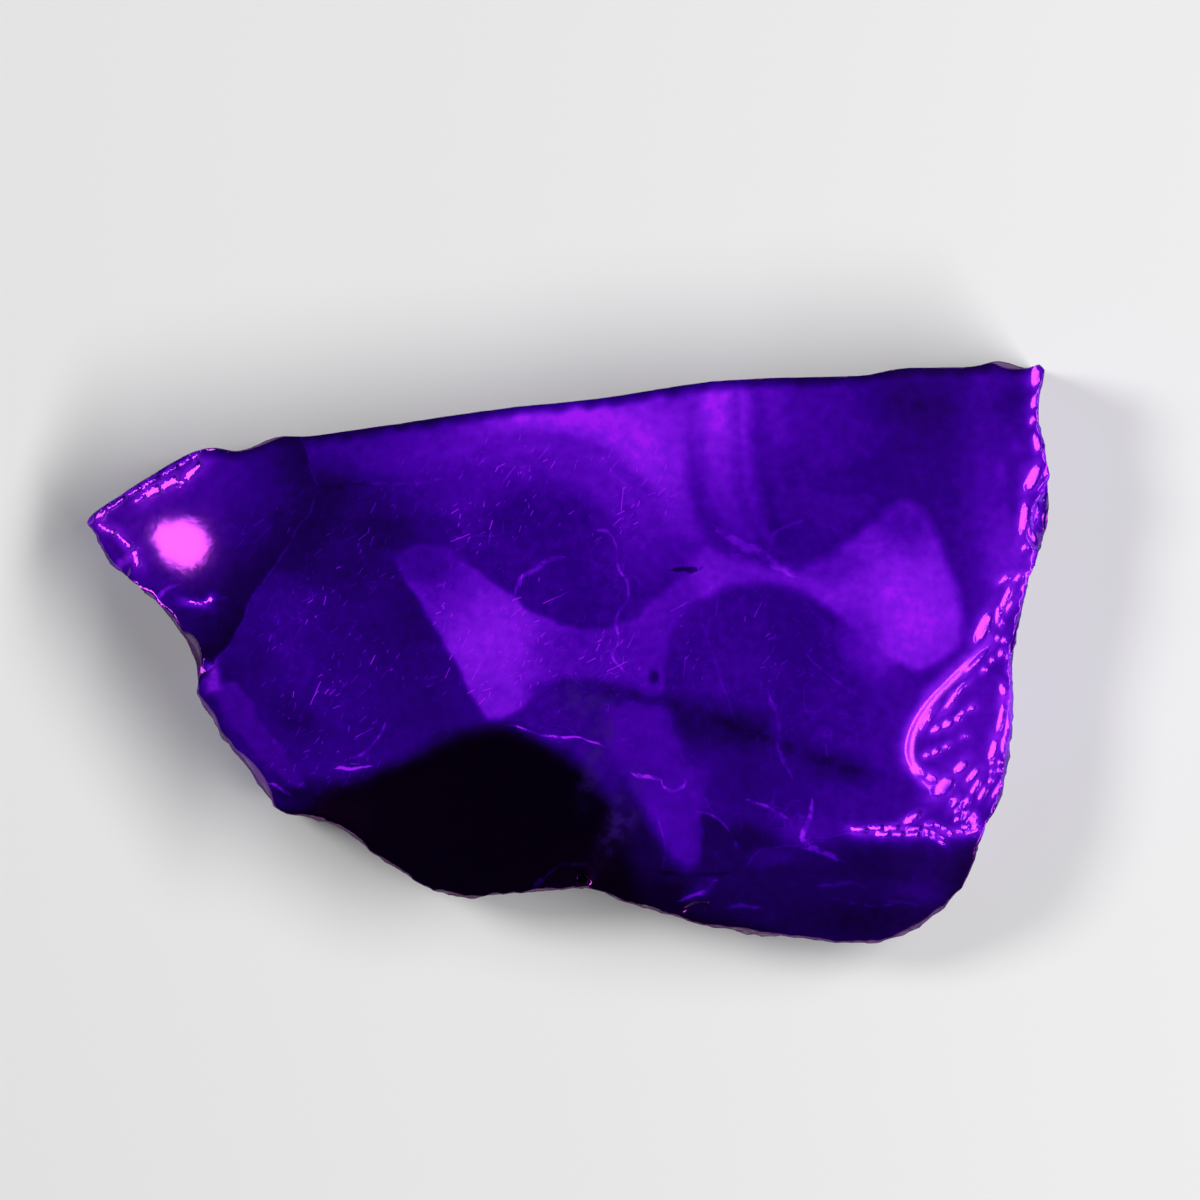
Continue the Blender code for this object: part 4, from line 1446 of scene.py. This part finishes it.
def scratch_marks(shader, size, length, width):
    """Short thin scratches, one in each cell of a net, near one direction: 1 on them, 0 beside them."""
    moved = shader.vector("ADD", shader.place, (size * SCRATCH_SHIFT[0], size * SCRATCH_SHIFT[1], 0.0))
    flat = {"voronoi_dimensions": "2D"}
    cells = shader.node("ShaderNodeTexVoronoi", flat, Vector=moved, Scale=1.0 / size)
    chance = shader.node("ShaderNodeSeparateColor", Color=cells.outputs["Color"])
    offset = shader.vector("SUBTRACT", moved, cells.outputs["Position"])
    first_turn = -SCRATCH_TURN - SCRATCH_SPREAD / 2.0
    turn = shader.math("MULTIPLY_ADD", chance.outputs[0], SCRATCH_SPREAD, first_turn)
    turned = shader.node(
        "ShaderNodeVectorRotate", {"rotation_type": "Z_AXIS"}, Vector=offset, Angle=turn
    ).outputs[0]
    parts = shader.node("ShaderNodeSeparateXYZ", Vector=turned)
    along = shader.math("ABSOLUTE", parts.outputs["X"])
    reach = shader.ramp(chance.outputs[1], 0.0, 1.0, SCRATCH_SHORTEST * length, length)
    across = shader.math("ABSOLUTE", parts.outputs["Y"])
    line = shader.ramp(across, SCRATCH_CORE * width, width, 1.0, 0.0)
    kept = shader.math("LESS_THAN", along, reach)
    shown = shader.math("POWER", chance.outputs[2], SCRATCH_RARITY)
    return shader.math("MULTIPLY", shader.math("MULTIPLY", line, kept), shown)


def vein_marks(shader, size, width):
    """A net of thin wandering veins: 1 on them, 0 beside them."""
    away = shader.math("ABSOLUTE", shader.math("SUBTRACT", shader.noise(size, 2.0), 0.5))
    broken = shader.ramp(shader.noise(VEIN_GAPS * size, 2.0), *GAP_RANGE)
    return shader.math("MULTIPLY", shader.ramp(away, 0.0, width, 1.0, 0.0), broken)


def screen_colour(levels):
    """A colour seen on screen as the stone's own colour under the scene's lamps."""
    linear = []
    for level in levels:
        share = level / 255.0
        value = share / 12.92 if share <= 0.04045 else ((share + 0.055) / 1.055) ** 2.4
        linear.append(value / LIGHT_LEVEL)
    return (*linear, 1.0)


def stone_marks(shader, lit):
    """What scratches, veins and the crack lines with their painted glints and painted shade add to the tone.
    Only the crack lines, painted ones too, show on dark stone.
    """
    math_node, ramp, attribute = shader.math, shader.ramp, shader.attribute
    scratches = 0.0
    for kind in SCRATCH_KINDS:
        scratches = math_node("MAXIMUM", scratches, scratch_marks(shader, *kind))
    clusters = math_node("MULTIPLY", attribute("scratched"), ramp(shader.noise(*CLUSTERS), *CLUSTER_RANGE))
    scratches = math_node("MULTIPLY", scratches, clusters)
    veins = math_node("MAXIMUM", *(vein_marks(shader, *kind) for kind in VEIN_KINDS))
    veins = math_node("MULTIPLY", veins, math_node("MULTIPLY", attribute("veined"), VEIN_TONE))

    past_end = math_node("SUBTRACT", attribute("line_mark_near"), LINE_MARK_REACH)
    distance = math_node("MAXIMUM", math_node("ABSOLUTE", attribute("line_mark_side")), past_end)
    ragged = math_node("SUBTRACT", shader.noise(*LINE_MARK_RAG), 0.5)
    line = ramp(math_node("ADD", distance, ragged), *LINE_MARK_BORDER, 1.0, 0.0)
    strength = ramp(shader.noise(*LINE_MARK_PATCHES), *LINE_MARK_STRENGTH)
    cracks_and_painted_light = math_node("MULTIPLY", math_node("MULTIPLY", line, strength), attribute("crack_and_painted_light_tone"))
    return math_node("ADD", math_node("MULTIPLY", math_node("ADD", scratches, veins), lit), cracks_and_painted_light)


def stone_colour(shader):
    """The banded violet with its clouds, its marks and the grey mossy patch."""
    tone = shader.attribute("tone")
    lit = shader.ramp(tone, *LIT_TONES)
    clouds = 0.0
    for kind in CLOUDS:
        cloud = shader.math("MULTIPLY_ADD", shader.noise(*kind), CLOUD_TONE, -CLOUD_TONE / 2.0)
        clouds = shader.math("ADD", clouds, cloud)
    tone = shader.math("ADD", tone, shader.math("MULTIPLY", clouds, lit))
    tone = shader.math("ADD", tone, stone_marks(shader, lit))
    colours = shader.node("ShaderNodeValToRGB", Fac=tone)
    elements = colours.color_ramp.elements
    for index, (place, levels) in enumerate(TONE_COLOURS):
        element = elements[index] if index < len(elements) else elements.new(place)
        element.position = place
        element.color = screen_colour(levels)

    moss = shader.ramp(shader.noise(*MOSS), *MOSS_RANGE)
    mixed = shader.node("ShaderNodeMix", {"data_type": "RGBA"})
    shader.feed(mixed.inputs["Factor"], shader.math("MULTIPLY", shader.attribute("mossy"), moss))
    shader.feed(mixed.inputs["A"], colours.outputs["Color"])
    shader.feed(mixed.inputs["B"], screen_colour(MOSSY_COLOUR))
    return mixed.outputs["Result"]


def stone_bump(shader):
    """Fine unevenness: long and short waves all over, and grain on the rough walls."""
    waves = shader.math("MULTIPLY_ADD", shader.noise(*SHORT_WAVES), SHORT_SHARE, shader.noise(*LONG_WAVES))
    grain_share = shader.ramp(shader.attribute("rough"), BREAK_ROUGH, WALL_ROUGH, 0.0, GRAIN_SHARE)
    grain = shader.math("MULTIPLY", shader.noise(*WALL_GRAIN), grain_share)
    height = shader.math("ADD", waves, grain)
    bump = shader.node("ShaderNodeBump", Height=height, Strength=1.0, Distance=BUMP_HEIGHT)
    return bump.outputs["Normal"]


def stone_material():
    """Banded violet agate: polished on its face, waxy where it is broken."""
    shader = MaterialMaker("agate")
    rough = shader.math(
        "MULTIPLY_ADD", shader.noise(*ROUGH_PATCHES), ROUGH_CHANGE, shader.attribute("rough")
    )
    sockets = shader.principled.inputs
    shader.feed(sockets["Base Color"], stone_colour(shader))
    shader.feed(sockets["Roughness"], rough)
    shader.feed(sockets["Normal"], stone_bump(shader))
    sockets["IOR"].default_value = AGATE_IOR
    sockets["Specular IOR Level"].default_value = AGATE_GLOSS
    sockets["Specular Tint"].default_value = (*GLINT_COLOUR, 1.0)
    sockets["Subsurface Weight"].default_value = SCATTER_SHARE
    sockets["Subsurface Radius"].default_value = SCATTER_COLOUR
    sockets["Subsurface Scale"].default_value = SCATTER_DEPTH
    return shader.material


def make_stone():
    """The agate slice's visible stone."""
    verts, quads = make_surface(GRID_STEP)
    data = make_mesh("agate_stone", verts, quads)
    data = thin_mesh(data, verts, TRIANGLE_LIMIT)
    relax_folds(data)
    set_points(data, np.clip(point_vectors(data, "co"), box_low, box_high) * MM)
    item = bpy.data.objects.new("agate_stone", data)
    bpy.context.scene.collection.objects.link(item)
    data.shade_smooth()
    data.set_sharp_from_angle(angle=SHARP_ANGLE)
    mark_stone(data)
    data.materials.append(stone_material())
    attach(item, "root")
    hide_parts(NODE)
    return item


def floor_material():
    """Plain pale matt paper."""
    shader = MaterialMaker("floor")
    sockets = shader.principled.inputs
    sockets["Base Color"].default_value = (*FLOOR_COLOUR, 1.0)
    sockets["Roughness"].default_value = FLOOR_ROUGH
    sockets["Specular IOR Level"].default_value = FLOOR_GLOSS
    return shader.material


def add_floor():
    """The pale floor that the slice lies on."""
    bpy.ops.mesh.primitive_plane_add(size=FLOOR_SIZE)
    floor = bpy.context.object
    floor.name = "floor"
    floor.data.materials.append(floor_material())


def add_lamp(turn, lean, sizes, power):
    """An oval soft lamp that shines on the slice, leaning away from straight up."""
    away = Vector((
        math.sin(math.radians(lean)) * math.cos(math.radians(turn)),
        math.sin(math.radians(lean)) * math.sin(math.radians(turn)),
        math.cos(math.radians(lean)),
    ))
    light = bpy.data.lights.new("lamp", "AREA")
    light.shape = "ELLIPSE"
    light.size, light.size_y = sizes
    light.energy = power
    lamp = bpy.data.objects.new("lamp", light)
    bpy.context.scene.collection.objects.link(lamp)
    across = Vector((-away.y, away.x, 0.0)).normalized()
    facing = Matrix((across, away.cross(across), away)).transposed()
    lamp.matrix_world = Matrix.Translation(away * LAMP_DISTANCE) @ facing.to_4x4()


def add_world():
    """Dim even light from all round."""
    world = bpy.data.worlds.new("world")
    world.use_nodes = True
    world.node_tree.nodes["Background"].inputs["Color"].default_value = (*WORLD_COLOUR, 1.0)
    bpy.context.scene.world = world


def add_camera():
    """A camera that looks straight down on the slice, as the photograph does."""
    middle = (PHOTO_PIXELS / 2.0 - ORIGIN_PIXEL[0], ORIGIN_PIXEL[1] - PHOTO_PIXELS / 2.0)
    data = bpy.data.cameras.new("camera")
    data.sensor_width = SENSOR_WIDTH
    view_width = PHOTO_PIXELS / PIXELS_PER_MM * MM
    data.lens = SENSOR_WIDTH * (CAMERA_HEIGHT - THICKNESS * MM) / view_width
    camera = bpy.data.objects.new("camera", data)
    bpy.context.scene.collection.objects.link(camera)
    camera.location = (middle[0] / PIXELS_PER_MM * MM, middle[1] / PIXELS_PER_MM * MM, CAMERA_HEIGHT)
    bpy.context.scene.camera = camera


make_stone()
add_floor()
for lamp in LAMPS:
    add_lamp(*lamp)
add_world()
add_camera()
bpy.context.scene.view_settings.view_transform = "Standard"
